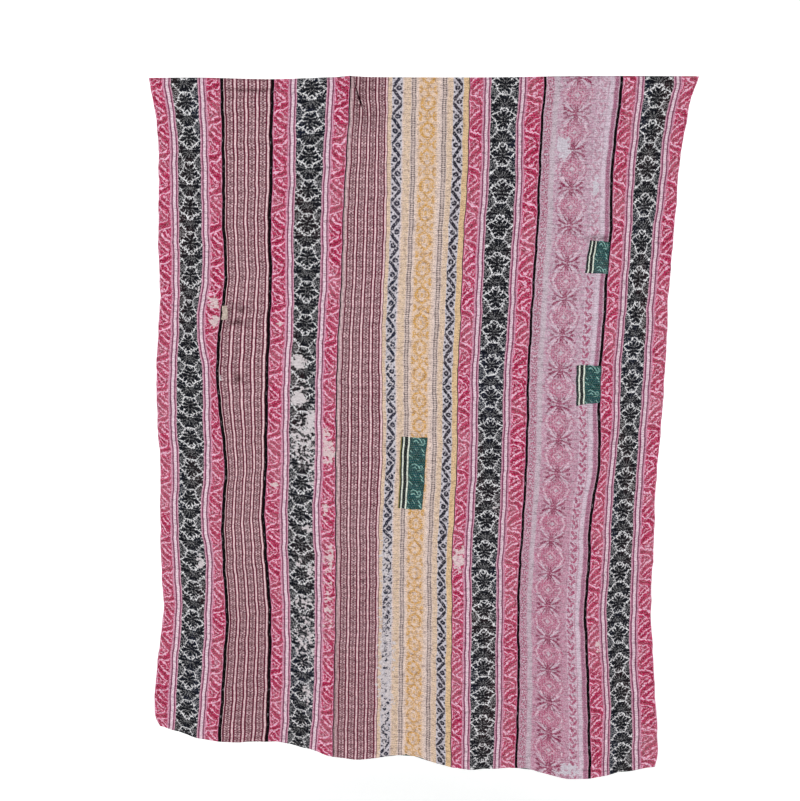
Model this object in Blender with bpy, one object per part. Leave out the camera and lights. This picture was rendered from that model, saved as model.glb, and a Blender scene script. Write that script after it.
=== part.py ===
"""A hand-stitched kantha quilt that hangs by its top edge, with the patches mended onto its face.

The quilt is one solid: its layers of old cotton are sewn through all over, and its hem is turned in.
The face looks along -Y, +X runs to the right and +Z up. The origin is the middle of the top edge,
where the quilt is held. Lengths are in metres; a drop is a height below the top edge.
"""

import math

import bmesh
import bpy

# Driving sizes of the cloth.
QUILT_THICKNESS = 0.003
LONGEST_DROP = 1.918
SEWN_GAP = 0.00035
PATCH_THICKNESS = 0.0012

# The grid of points on the face: cells across the width and down the drop.
CELLS_ACROSS = 42
CELLS_DOWN = 60

# The two side edges. The top corners flare out where the held edge pulls on them, and the right side
# leans in on its way down.
SIDE_EDGES = [
    # drop, left,   right
    (0.000, -0.755, 0.753),
    (0.060, -0.744, 0.732),
    (0.130, -0.732, 0.718),
    (0.200, -0.728, 0.705),
    (0.350, -0.728, 0.691),
    (0.480, -0.728, 0.680),
    (0.600, -0.724, 0.670),
    (0.730, -0.731, 0.665),
    (0.850, -0.734, 0.657),
    (0.970, -0.730, 0.649),
    (1.070, -0.723, 0.639),
    (1.180, -0.724, 0.633),
    (1.310, -0.722, 0.629),
    (1.400, -0.718, 0.623),
    (1.460, -0.714, 0.622),
    (1.530, -0.723, 0.625),
    (1.620, -0.733, 0.629),
    (1.700, -0.739, 0.633),
    (1.755, -0.737, 0.636),
    (1.785, -0.723, 0.637),
    (1.865, -0.723, 0.637),
    (1.890, -0.723, 0.630),
]

# The top edge rises to the places where it is held and sags a little between them.
TOP_EDGE = [
    # across, rise
    (0.00, -0.002),
    (0.08, -0.001),
    (0.24, -0.005),
    (0.33, 0.000),
    (0.36, 0.001),
    (0.45, 0.000),
    (0.64, 0.000),
    (0.76, 0.003),
    (1.00, 0.003),
]

# The hem steps down to the right, over the forward folds, and turns up at both corners.
HEM = [
    # across, drop
    (0.00, 1.780),
    (0.03, 1.791),
    (0.07, 1.806),
    (0.12, 1.817),
    (0.17, 1.821),
    (0.245, 1.826),
    (0.30, 1.843),
    (0.35, 1.858),
    (0.39, 1.863),
    (0.50, 1.863),
    (0.56, 1.879),
    (0.61, 1.891),
    (0.71, 1.895),
    (0.75, 1.900),
    (0.80, 1.915),
    (0.85, 1.918),
    (0.91, 1.912),
    (0.96, 1.902),
    (1.00, 1.888),
]

# Soft upright folds, which deepen from where each starts down to the hem. A forward fold is positive.
UPRIGHT_FOLDS = [
    # name,          x_top,  x_hem, half_width, forward, start
    ("left_selvedge", -0.760, -0.735, 0.120, -0.008, 0.10),
    ("first_ridge", -0.585, -0.572, 0.165, 0.019, 0.20),
    ("first_hollow", -0.395, -0.392, 0.150, -0.015, 0.35),
    ("second_ridge", -0.205, -0.205, 0.175, 0.026, 0.05),
    ("second_hollow", -0.020, -0.040, 0.150, -0.017, 0.30),
    ("third_ridge", 0.155, 0.105, 0.160, 0.022, 0.25),
    ("third_hollow", 0.350, 0.285, 0.150, -0.018, 0.40),
    ("fourth_ridge", 0.500, 0.405, 0.150, 0.027, 0.15),
    ("fourth_hollow", 0.640, 0.545, 0.120, -0.014, 0.30),
    ("right_selvedge", 0.770, 0.650, 0.110, 0.011, 0.10),
]

# The quilt was stored folded: shallow creases run across it. along is the share of the drop.
STORAGE_CREASES = [
    # name,            along, half_width, depth
    ("upper_crease", 0.160, 0.035, 0.0016),
    ("middle_crease", 0.338, 0.035, 0.0020),
    ("half_crease", 0.386, 0.030, 0.0014),
    ("lower_crease", 0.705, 0.035, 0.0020),
    ("hem_crease", 0.845, 0.035, 0.0016),
]

# Broad puckers where the running stitches have drawn the cloth up.
PUCKERS = [
    # height, pitch_x, pitch_z, shift
    (0.0014, 0.231, 0.307, 0.4),
    (0.0011, 0.147, 0.443, 2.1),
    (0.0012, 0.389, 0.181, 4.4),
]

# A small pinch at the top edge, where the cloth is taken up between two stripes.
PINCH_X_TOP = -0.200
PINCH_X_FOOT = -0.165
PINCH_DROP = 0.240
PINCH_HALF_WIDTH = 0.045
PINCH_FORWARD = 0.009

# The patches, each by its outline from its upper left corner round to the lower left: x and drop.
PATCH_OUTLINES = {
    "green_patch_upper": [(0.454, 0.447), (0.508, 0.452), (0.503, 0.540), (0.440, 0.536)],
    "green_patch_lower": [(0.416, 0.789), (0.485, 0.791), (0.481, 0.891), (0.416, 0.900)],
    "green_patch_large": [(-0.064, 0.986), (0.009, 0.988), (-0.005, 1.186), (-0.071, 1.182), (-0.0705, 1.079)],
    "cream_patch": [(-0.5525, 0.626), (-0.539, 0.627), (-0.537, 0.664), (-0.554, 0.665)],
}

# Colours, as red, green and blue.
FACE_ROSE = (0.48, 0.24, 0.28)
PATCH_GREEN = (0.03, 0.11, 0.10)
PATCH_CREAM = (0.62, 0.55, 0.45)
COTTON_ROUGHNESS = 0.9


def smooth(share):
    """A soft step from 0 to 1."""
    share = min(max(share, 0.0), 1.0)
    return share * share * (3.0 - 2.0 * share)


def swell(distance, half_width):
    """A rounded bump, 1 at its middle and 0 from half_width on."""
    if abs(distance) >= half_width:
        return 0.0
    return 0.5 + 0.5 * math.cos(math.pi * distance / half_width)


def read_table(rows, column, at):
    """The value of a column at a place in the first one, on a smooth curve through the rows."""
    last = len(rows) - 1
    if at <= rows[0][0]:
        return rows[0][column]
    if at >= rows[last][0]:
        return rows[last][column]
    above = next(i for i in range(1, last + 1) if rows[i][0] >= at)

    def slope(i):
        low = max(i - 1, 0)
        high = min(i + 1, last)
        return (rows[high][column] - rows[low][column]) / (rows[high][0] - rows[low][0])

    start = rows[above - 1]
    end = rows[above]
    step = end[0] - start[0]
    t = (at - start[0]) / step
    from_start = (1 + 2 * t) * (1 - t) ** 2 * start[column] + t * (1 - t) ** 2 * step * slope(above - 1)
    from_end = t * t * (3 - 2 * t) * end[column] - t * t * (1 - t) * step * slope(above)
    return from_start + from_end


def forward_of(x, drop, along):
    """How far the face stands forward of the top edge's plane."""
    forward = 0.0
    for _, x_top, x_hem, half_width, height, start in UPRIGHT_FOLDS:
        middle = x_top + (x_hem - x_top) * drop / LONGEST_DROP
        grown = smooth((drop - start) / (LONGEST_DROP - start))
        forward += height * grown * swell(x - middle, half_width)
    for _, crease_along, half_width, depth in STORAGE_CREASES:
        forward -= depth * swell((along - crease_along) * LONGEST_DROP, half_width)
    for height, pitch_x, pitch_z, shift in PUCKERS:
        wave = math.sin(2 * math.pi * x / pitch_x + shift) * math.sin(2 * math.pi * drop / pitch_z + 2 * shift)
        forward += height * wave * smooth(drop / 0.15)
    pinch_x = PINCH_X_TOP + (PINCH_X_FOOT - PINCH_X_TOP) * drop / PINCH_DROP
    forward += PINCH_FORWARD * smooth(1 - drop / PINCH_DROP) * swell(x - pinch_x, PINCH_HALF_WIDTH)
    return forward


def face_point(across, along):
    """The point of the quilt's face at a share of its width and a share of its drop."""
    drop = -read_table(TOP_EDGE, 1, across) * (1 - along) + read_table(HEM, 1, across) * along
    left = read_table(SIDE_EDGES, 1, drop)
    right = read_table(SIDE_EDGES, 2, drop)
    x = left + (right - left) * across
    y = -QUILT_THICKNESS / 2 - forward_of(x, drop, along)
    return (x, y, -drop)


def cotton(name, colour):
    material = bpy.data.materials.new(name)
    material.use_nodes = True
    surface = material.node_tree.nodes["Principled BSDF"]
    surface.inputs["Base Color"].default_value = (*colour, 1.0)
    surface.inputs["Roughness"].default_value = COTTON_ROUGHNESS
    surface.inputs["Metallic"].default_value = 0.0
    material.diffuse_color = (*colour, 1.0)
    return material


def face_sheet():
    """The face of the quilt as a sheet of triangles with no thickness, in the folds in which it hangs."""
    sheet = bmesh.new()
    bmesh.ops.create_grid(sheet, x_segments=CELLS_ACROSS, y_segments=CELLS_DOWN, size=0.5)
    for vertex in sheet.verts:
        vertex.co = face_point(vertex.co.x + 0.5, 0.5 - vertex.co.y)
    bmesh.ops.recalc_face_normals(sheet, faces=sheet.faces)
    if sum(face.normal.y * face.calc_area() for face in sheet.faces) > 0:
        bmesh.ops.reverse_faces(sheet, faces=sheet.faces)
    bmesh.ops.triangulate(sheet, faces=sheet.faces)
    return sheet


def add_cloth(name, sheet, thickness, backwards, material):
    """An object from a sheet, which a Solidify modifier thickens behind it or in front of it."""
    mesh = bpy.data.meshes.new(name)
    sheet.to_mesh(mesh)
    sheet.free()
    mesh.shade_smooth()
    mesh.set_sharp_from_angle(angle=math.radians(35))
    mesh.materials.append(material)
    cloth = bpy.data.objects.new(name, mesh)
    bpy.context.scene.collection.objects.link(cloth)
    thicken = cloth.modifiers.new("cloth_thickness", "SOLIDIFY")
    thicken.thickness = thickness
    thicken.offset = -1.0 if backwards else 1.0
    return cloth


def cut_to_outline(sheet, outline):
    """Keeps the part of the sheet inside an outline that bulges outward all round."""
    for i, (x, drop) in enumerate(outline):
        next_x, next_drop = outline[(i + 1) % len(outline)]
        outward = (next_drop - drop, 0.0, next_x - x)
        bmesh.ops.bisect_plane(
            sheet,
            geom=sheet.verts[:] + sheet.edges[:] + sheet.faces[:],
            dist=1e-6,
            plane_co=(x, 0.0, -drop),
            plane_no=outward,
            clear_outer=True,
        )


def build_quilt():
    add_cloth("quilt", face_sheet(), QUILT_THICKNESS, True, cotton("printed_cotton", FACE_ROSE))


def build_patches():
    """Each patch is cut to the face's own folds and lies a sewing gap in front of it."""
    green = cotton("green_cotton", PATCH_GREEN)
    cream = cotton("cream_cotton", PATCH_CREAM)
    for name, outline in PATCH_OUTLINES.items():
        sheet = face_sheet()
        cut_to_outline(sheet, outline)
        bmesh.ops.triangulate(sheet, faces=sheet.faces)
        for vertex in sheet.verts:
            vertex.co.y -= SEWN_GAP
        add_cloth(name, sheet, PATCH_THICKNESS, False, cream if name == "cream_patch" else green)


for old in list(bpy.data.objects):
    bpy.data.objects.remove(old, do_unlink=True)
build_quilt()
build_patches()
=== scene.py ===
import bpy
import mathutils
import numpy as np
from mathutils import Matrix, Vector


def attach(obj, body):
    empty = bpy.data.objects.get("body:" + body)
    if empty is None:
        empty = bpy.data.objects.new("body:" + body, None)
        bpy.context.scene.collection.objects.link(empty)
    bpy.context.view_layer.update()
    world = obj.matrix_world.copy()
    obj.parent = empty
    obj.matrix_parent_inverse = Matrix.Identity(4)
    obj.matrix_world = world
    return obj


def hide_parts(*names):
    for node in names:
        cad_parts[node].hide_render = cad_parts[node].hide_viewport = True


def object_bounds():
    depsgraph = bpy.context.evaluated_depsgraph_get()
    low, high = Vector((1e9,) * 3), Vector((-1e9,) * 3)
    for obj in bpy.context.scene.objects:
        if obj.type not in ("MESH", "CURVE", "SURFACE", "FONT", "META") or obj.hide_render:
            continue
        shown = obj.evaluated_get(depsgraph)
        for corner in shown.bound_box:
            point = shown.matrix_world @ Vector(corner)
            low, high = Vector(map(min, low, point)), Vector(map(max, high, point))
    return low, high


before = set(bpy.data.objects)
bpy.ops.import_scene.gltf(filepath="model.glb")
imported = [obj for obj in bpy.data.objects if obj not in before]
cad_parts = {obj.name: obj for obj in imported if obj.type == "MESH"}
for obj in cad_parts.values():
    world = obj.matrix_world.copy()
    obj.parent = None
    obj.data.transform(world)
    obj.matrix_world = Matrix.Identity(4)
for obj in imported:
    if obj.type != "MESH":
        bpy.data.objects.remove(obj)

cad_box = [list(corner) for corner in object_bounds()]


# The studio: a pale sweep that runs from the floor up behind the quilt, two soft lamps and an even
# white sky. The camera stands straight in front of the middle of the cloth.
FLOOR_HEIGHT = -2.10
SWEEP_WIDTH = 22.0
SWEEP_FRONT = -9.0
SWEEP_BACK = 9.0
SWEEP_RISE = 9.0
SWEEP_CURVE = 1.6
CURVE_STEPS = 16
NEARLY = 0.01
SWEEP_WHITE = (0.93, 0.93, 0.93, 1.0)
CAMERA_PLACE = (-0.066, -4.0, -0.886)
CAMERA_LENS = 65.6
FACING_QUILT = (np.pi / 2, 0.0, 0.0)
SWEEP_GLOW = 0.50
SKY_STRENGTH = 0.58
SKY_SEEN = 1.0
LAMPS = [
    # name, place, size, watts
    ("key_lamp", (-1.9, -3.4, 0.9), 2.4, 44.0),
    ("fill_lamp", (2.4, -3.6, -0.6), 2.4, 22.0),
]


def deselect_all():
    """Leaves nothing selected, so that an operator acts on the next new piece alone."""
    if bpy.context.object and bpy.context.object.mode != "OBJECT":
        bpy.ops.object.mode_set(mode="OBJECT")
    bpy.ops.object.select_all(action="DESELECT")


def select_edges(piece, wanted):
    """Selects the edges of a piece that have both ends at a wanted place."""
    for edge in piece.data.edges:
        edge.select = all(wanted(piece.data.vertices[end].co) for end in edge.vertices)


def new_object(name, data):
    """A new object in the scene."""
    new = bpy.data.objects.new(name, data)
    bpy.context.scene.collection.objects.link(new)
    return new


def new_surface(name, settings):
    """A material with the settings of its surface."""
    material = bpy.data.materials.new(name)
    material.use_nodes = True
    for setting, value in settings.items():
        material.node_tree.nodes["Principled BSDF"].inputs[setting].default_value = value
    return material


deselect_all()
bpy.ops.mesh.primitive_plane_add(size=1.0, location=(0.0, 0.0, FLOOR_HEIGHT))
sweep = bpy.context.object
sweep.name = "studio_sweep"
sweep.scale = (SWEEP_WIDTH, SWEEP_BACK - SWEEP_FRONT, 1.0)
sweep.location.y = (SWEEP_BACK + SWEEP_FRONT) / 2
bpy.ops.object.transform_apply(location=True, rotation=True, scale=True)
bpy.ops.object.mode_set(mode="EDIT")
bpy.ops.mesh.select_mode(type="EDGE")
bpy.ops.mesh.select_all(action="DESELECT")
bpy.ops.object.mode_set(mode="OBJECT")
select_edges(sweep, lambda end: end.y > SWEEP_BACK - NEARLY)
bpy.ops.object.mode_set(mode="EDIT")
bpy.ops.mesh.extrude_region_move(TRANSFORM_OT_translate={"value": (0.0, 0.0, SWEEP_RISE)})
bpy.ops.object.mode_set(mode="OBJECT")
select_edges(sweep, lambda end: end.y > SWEEP_BACK - NEARLY and end.z < FLOOR_HEIGHT + NEARLY)
bpy.ops.object.mode_set(mode="EDIT")
bpy.ops.mesh.bevel(offset=SWEEP_CURVE, segments=CURVE_STEPS, affect="EDGES")
bpy.ops.object.mode_set(mode="OBJECT")
bpy.ops.object.shade_smooth()
paper = {
    "Base Color": SWEEP_WHITE,
    "Roughness": 0.9,
    "Specular IOR Level": 0.1,
    "Emission Color": SWEEP_WHITE,
    "Emission Strength": SWEEP_GLOW,
}
sweep.data.materials.append(new_surface("white_paper", paper))

middle = [(low + high) / 2 for low, high in zip(*cad_box)]
for name, place, size, watts in LAMPS:
    lamp = new_object(name, bpy.data.lights.new(name, "AREA"))
    lamp.data.size = size
    lamp.data.energy = watts
    lamp.location = place
    aim = np.array(middle) - np.array(place)
    lamp.rotation_euler = mathutils.Vector(aim).to_track_quat("-Z", "Y").to_euler()
sky = bpy.data.worlds.new("white_sky")
sky.use_nodes = True
glow = sky.node_tree.nodes["Background"]
glow.inputs["Color"].default_value = (1.0, 1.0, 1.0, 1.0)
seen = sky.node_tree.nodes.new("ShaderNodeLightPath")
sky_light = sky.node_tree.nodes.new("ShaderNodeMapRange")
sky_light.inputs["To Min"].default_value = SKY_STRENGTH
sky_light.inputs["To Max"].default_value = SKY_SEEN
sky.node_tree.links.new(seen.outputs["Is Camera Ray"], sky_light.inputs["Value"])
sky.node_tree.links.new(sky_light.outputs["Result"], glow.inputs["Strength"])
bpy.context.scene.world = sky
bpy.context.scene.view_settings.view_transform = "Standard"

camera = new_object("studio_camera", bpy.data.cameras.new("studio_camera"))
camera.location = CAMERA_PLACE
camera.rotation_euler = FACING_QUILT
camera.data.lens = CAMERA_LENS
bpy.context.scene.camera = camera


# The hang of the cloth: its outline, its upright folds, the creases that it kept from its shelf and
# the slight pucker that the sewing gives it. These are the sizes of the quilt's own solid.
QUILT_THICKNESS = 0.003
LONGEST_DROP = 1.918
SIDE_EDGES = np.array([
    # drop, left, right, in millimetres
    (0, -755, 753),
    (60, -744, 732),
    (130, -732, 718),
    (200, -728, 705),
    (350, -728, 691),
    (480, -728, 680),
    (600, -724, 670),
    (730, -731, 665),
    (850, -734, 657),
    (970, -730, 649),
    (1070, -723, 639),
    (1180, -724, 633),
    (1310, -722, 629),
    (1400, -718, 623),
    (1460, -714, 622),
    (1530, -723, 625),
    (1620, -733, 629),
    (1700, -739, 633),
    (1755, -737, 636),
    (1785, -723, 637),
    (1865, -723, 637),
    (1890, -723, 630),
]) / 1000
TOP_EDGE = [
    # across, rise
    (0.00, -0.002),
    (0.08, -0.001),
    (0.24, -0.005),
    (0.33, 0.000),
    (0.36, 0.001),
    (0.45, 0.000),
    (0.64, 0.000),
    (0.76, 0.003),
    (1.00, 0.003),
]
HEM = [
    # across, drop
    (0.00, 1.780),
    (0.03, 1.791),
    (0.07, 1.806),
    (0.12, 1.817),
    (0.17, 1.821),
    (0.245, 1.826),
    (0.30, 1.843),
    (0.35, 1.858),
    (0.39, 1.863),
    (0.50, 1.863),
    (0.56, 1.879),
    (0.61, 1.891),
    (0.71, 1.895),
    (0.75, 1.900),
    (0.80, 1.915),
    (0.85, 1.918),
    (0.91, 1.912),
    (0.96, 1.902),
    (1.00, 1.888),
]
UPRIGHT_FOLDS = [
    # name,          x_top,  x_hem,  half_width, forward, start
    ("left_selvedge", -0.760, -0.735, 0.120, -0.008, 0.10),
    ("first_ridge", -0.585, -0.572, 0.165, 0.019, 0.20),
    ("first_hollow", -0.395, -0.392, 0.150, -0.015, 0.35),
    ("second_ridge", -0.205, -0.205, 0.175, 0.026, 0.05),
    ("second_hollow", -0.020, -0.040, 0.150, -0.017, 0.30),
    ("third_ridge", 0.155, 0.105, 0.160, 0.022, 0.25),
    ("third_hollow", 0.350, 0.285, 0.150, -0.018, 0.40),
    ("fourth_ridge", 0.500, 0.405, 0.150, 0.027, 0.15),
    ("fourth_hollow", 0.640, 0.545, 0.120, -0.014, 0.30),
    ("right_selvedge", 0.770, 0.650, 0.110, 0.011, 0.10),
]
STORAGE_CREASES = [
    # name,         along, half_width, depth
    ("upper_crease", 0.160, 0.035, 0.0016),
    ("middle_crease", 0.338, 0.035, 0.0020),
    ("half_crease", 0.386, 0.030, 0.0014),
    ("lower_crease", 0.705, 0.035, 0.0020),
    ("hem_crease", 0.845, 0.035, 0.0016),
]
PUCKERS = [
    # height, pitch_x, pitch_z, shift
    (0.0014, 0.231, 0.307, 0.4),
    (0.0011, 0.147, 0.443, 2.1),
    (0.0012, 0.389, 0.181, 4.4),
]
PUCKER_START = 0.15
PINCH_X_TOP = -0.200
PINCH_X_FOOT = -0.165
PINCH_DROP = 0.240
PINCH_HALF_WIDTH = 0.045
PINCH_FORWARD = 0.009


def smooth(share):
    """Eases from 0 to 1, for many shares at once."""
    share = np.clip(share, 0.0, 1.0)
    return share * share * (3 - 2 * share)


def swell(distance, half_width):
    """A soft rounded swell: 1 on its middle line and 0 from half_width away."""
    near = np.clip(np.abs(distance) / half_width, 0.0, 1.0)
    return 0.5 + 0.5 * np.cos(np.pi * near)


def read_table(rows, column, at):
    """A smooth curve through one column of a table, read at many places. Its first column is the places."""
    places = np.array([row[0] for row in rows])
    values = np.array([row[column] for row in rows])
    slopes = np.gradient(values, places)
    at = np.clip(at, places[0], places[-1])
    after = np.clip(np.searchsorted(places, at, side="right"), 1, len(places) - 1)
    start, end = places[after - 1], places[after]
    span = end - start
    share = (at - start) / span
    square, cube = share * share, share * share * share
    return (
        (2 * cube - 3 * square + 1) * values[after - 1]
        + (cube - 2 * square + share) * span * slopes[after - 1]
        + (3 * square - 2 * cube) * values[after]
        + (cube - square) * span * slopes[after]
    )


def side_places(drop):
    """Where the left and right edges of the cloth hang at a drop."""
    return read_table(SIDE_EDGES, 1, drop), read_table(SIDE_EDGES, 2, drop)


def end_places(across):
    """How far the top edge rises and how far down the hem hangs, at a share of the width."""
    return read_table(TOP_EDGE, 1, across), read_table(HEM, 1, across)


def drop_of(across, along):
    """How far below the top edge a point of the cloth hangs."""
    rise, hem = end_places(across)
    return -rise * (1 - along) + hem * along


def forward_of(x, drop, along):
    """How far the cloth stands forward of its upright plane."""
    forward = np.zeros_like(x)
    for _, x_top, x_hem, half_width, height, start in UPRIGHT_FOLDS:
        middle_line = x_top + (x_hem - x_top) * drop / LONGEST_DROP
        grown = smooth((drop - start) / (LONGEST_DROP - start))
        forward += height * grown * swell(x - middle_line, half_width)
    for _, crease_along, half_width, depth in STORAGE_CREASES:
        forward -= depth * swell((along - crease_along) * LONGEST_DROP, half_width)
    for height, pitch_x, pitch_z, shift in PUCKERS:
        waves = np.sin(2 * np.pi * x / pitch_x + shift) * np.sin(2 * np.pi * drop / pitch_z + 2 * shift)
        forward += height * waves * smooth(drop / PUCKER_START)
    pinch_line = PINCH_X_TOP + (PINCH_X_FOOT - PINCH_X_TOP) * drop / PINCH_DROP
    fading = 1 - smooth(drop / PINCH_DROP)
    return forward + PINCH_FORWARD * fading * swell(x - pinch_line, PINCH_HALF_WIDTH)


# The quilt: old cotton saris laid one on another, sewn through with close rows of running stitch and
# turned in at the edges. It is one closed mesh. Its face has a point on and between all the rows, and its
# columns follow the printed lines, which wander where the sewing draws the cloth in.
LINE_NAMES = [
    "stripe_1", "stripe_2", "black_1", "black_2", "stripe_3", "stripe_4", "pale_line", "yellow_left",
    "yellow_right", "stripe_5", "stripe_6", "black_3", "black_4", "stripe_7", "stripe_8",
]
PRINTED_LINES = np.array([
    # the drop, then the place of each line of LINE_NAMES at it, in millimetres
    (20, -705, -610, -555, -415, -359, -255, -201, -97, 122, 174, 272, 332, 542, 594, 695),
    (150, -687, -603, -551, -419, -362, -262, -208, -100, 119, 170, 262, 322, 526, 578, 666),
    (280, -685, -600, -550, -419, -363, -268, -216, -101, 116, 167, 261, 316, 514, 565, 655),
    (410, -682, -598, -549, -424, -368, -272, -222, -103, 107, 158, 254, 311, 512, 559, 639),
    (540, -680, -597, -543, -421, -368, -273, -225, -108, 101, 152, 245, 302, 500, 550, 628),
    (680, -682, -612, -558, -426, -369, -281, -233, -114, 96, 146, 239, 293, 492, 539, 619),
    (810, -688, -596, -566, -431, -377, -286, -238, -115, 89, 138, 229, 286, 480, 528, 612),
    (940, -688, -594, -555, -433, -380, -288, -240, -113, 88, 137, 226, 284, 478, 525, 603),
    (1070, -681, -591, -542, -435, -381, -288, -241, -115, 86, 134, 222, 280, 477, 513, 594),
    (1200, -684, -600, -550, -441, -385, -295, -241, -122, 79, 126, 217, 273, 455, 503, 586),
    (1330, -678, -586, -547, -433, -383, -289, -240, -123, 72, 119, 209, 264, 449, 497, 581),
    (1470, -673, -589, -538, -424, -378, -288, -241, -124, 73, 119, 208, 259, 439, 488, 576),
    (1600, -684, -594, -545, -425, -377, -289, -244, -126, 71, 116, 206, 260, 444, 494, 575),
    (1730, -691, -605, -553, -428, -381, -294, -246, -128, 70, 115, 206, 259, 448, 501, 582),
    (1860, -698, -612, -563, -434, -388, -306, -249, -130, 70, 113, 200, 254, 451, 497, 583),
]) / 1000
HALF_STRIPES = 0.011
MAIN_BANDS = [
    # first line, offset, columns, print, repeats, turned
    ("left_edge", 0.0, 5, "leaf_border", "flowers_1", 1),
    ("stripe_1", HALF_STRIPES, 5, "dark_flowers", "flowers_1", 1),
    ("stripe_2", HALF_STRIPES, 3, "leaf_border", "flowers_1", 1),
    ("black_1", -0.0040, 1, "black_line", "flowers_1", 1),
    ("black_1", 0.005, 7, "chain_panel", "flowers_1", 1),
    ("black_2", -0.0040, 1, "black_line", "flowers_1", 1),
    ("black_2", 0.0045, 3, "leaf_border", "flowers_2", 1),
    ("stripe_3", HALF_STRIPES, 5, "dark_flowers", "flowers_2", 1),
    ("stripe_4", HALF_STRIPES, 3, "leaf_border", "flowers_2", 1),
    ("pale_line", -0.002, 1, "pale_line", "flowers_2", 1),
    ("pale_line", 0.009, 13, "chain_panel", "flowers_2", 1),
    ("yellow_left", 0.000, 10, "yellow_panel", "ovals", 1),
    ("yellow_right", 0.002, 1, "black_line", "ovals", 1),
    ("yellow_right", 0.0042, 3, "leaf_border", "flowers_3", -1),
    ("stripe_5", HALF_STRIPES, 5, "dark_flowers", "flowers_3", -1),
    ("stripe_6", HALF_STRIPES, 3, "leaf_border", "flowers_3", -1),
    ("black_3", -0.0036, 1, "black_line", "flowers_3", 1),
    ("black_3", 0.0034, 10, "rose_panel", "stars", 1),
    ("black_4", -0.0042, 1, "black_line", "flowers_4", 1),
    ("black_4", 0.0038, 3, "leaf_border", "flowers_4", -1),
    ("stripe_7", HALF_STRIPES, 5, "dark_flowers", "flowers_4", -1),
    ("stripe_8", HALF_STRIPES, 5, "leaf_border", "flowers_4", -1),
]
# A striped strip lies before each band that starts on a stripe.
PRINTED_BANDS = []
for main_band in MAIN_BANDS:
    if main_band[0].startswith("stripe"):
        PRINTED_BANDS.append((main_band[0], -HALF_STRIPES, 2, "stripes", main_band[4], 1))
    PRINTED_BANDS.append(main_band)
REPEAT_MARKS = {
    # print: (repeats from one mark to the next, share of the drop at each of four marks)
    "flowers_1": (7, 0.0226, 0.3895, 0.7184, 1.034),
    "flowers_2": (7, 0.0000, 0.3527, 0.6834, 0.986),
    "flowers_3": (7, 0.0246, 0.3836, 0.6972, 0.989),
    "flowers_4": (7, 0.0443, 0.4053, 0.7250, 1.026),
    "ovals": (9, 0.0378, 0.3977, 0.7282, 1.043),
    "stars": (6, 0.0540, 0.3705, 0.6642, 0.942),
}
PLEATED_BAND = 14
PLEATED_SHARES = [0.0, 0.045, 0.09, 0.135, 0.18, 0.225, 0.27, 0.315, 0.36, 0.42, 0.55, 0.70, 0.85]
PLEAT_TOP_X = -0.196
PLEAT_FOOT_X = -0.163
PLEAT_DROP = 0.105
PLEAT_HEIGHT = 0.0055
PLEAT_RISE = 0.034
PLEAT_FALL = 0.005
PLEAT_FULL = 0.15
TUCK_FULL = 0.3
TUCK_PLACE = 0.001
PANEL_FLAT_WIDTH = 0.108
WOBBLES = [
    # sideways, downwards, across_pitch, down_pitch, shift
    (0.0004, 0.0006, 0.190, 0.061, 0.7),
    (0.0002, 0.0007, 0.083, 0.027, 2.9),
    (0.0007, 0.0005, 0.310, 0.117, 4.6),
    (0.0003, 0.0008, 0.057, 0.190, 1.3),
]
WOBBLE_START = 0.03
CREASE_JOG = 0.0011
CREASE_JOG_PITCH = 0.031
FLAT_LENGTH = 2.02
STITCH_ROWS = 330
POINTS_A_ROW = 2
ROW_RELIEF = 0.00024
ROW_WANDER = 0.9
SLACK_SHARE = 0.45
WRINKLES = [
    # height, across_pitch, down_pitch, shift
    (0.00032, 0.083, 0.021, 0.3),
    (0.00026, 0.047, 0.034, 1.9),
    (0.00030, 0.139, 0.013, 3.1),
    (0.00022, 0.061, 0.055, 5.2),
]
EDGE_ROUND = 0.0035
PRESSED_EDGE = 0.014
PRESSED_SHARE = 0.35
BACK_RELIEF = 0.7
BACK_STEP = 2
MARK_FALL = 0.55
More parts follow.
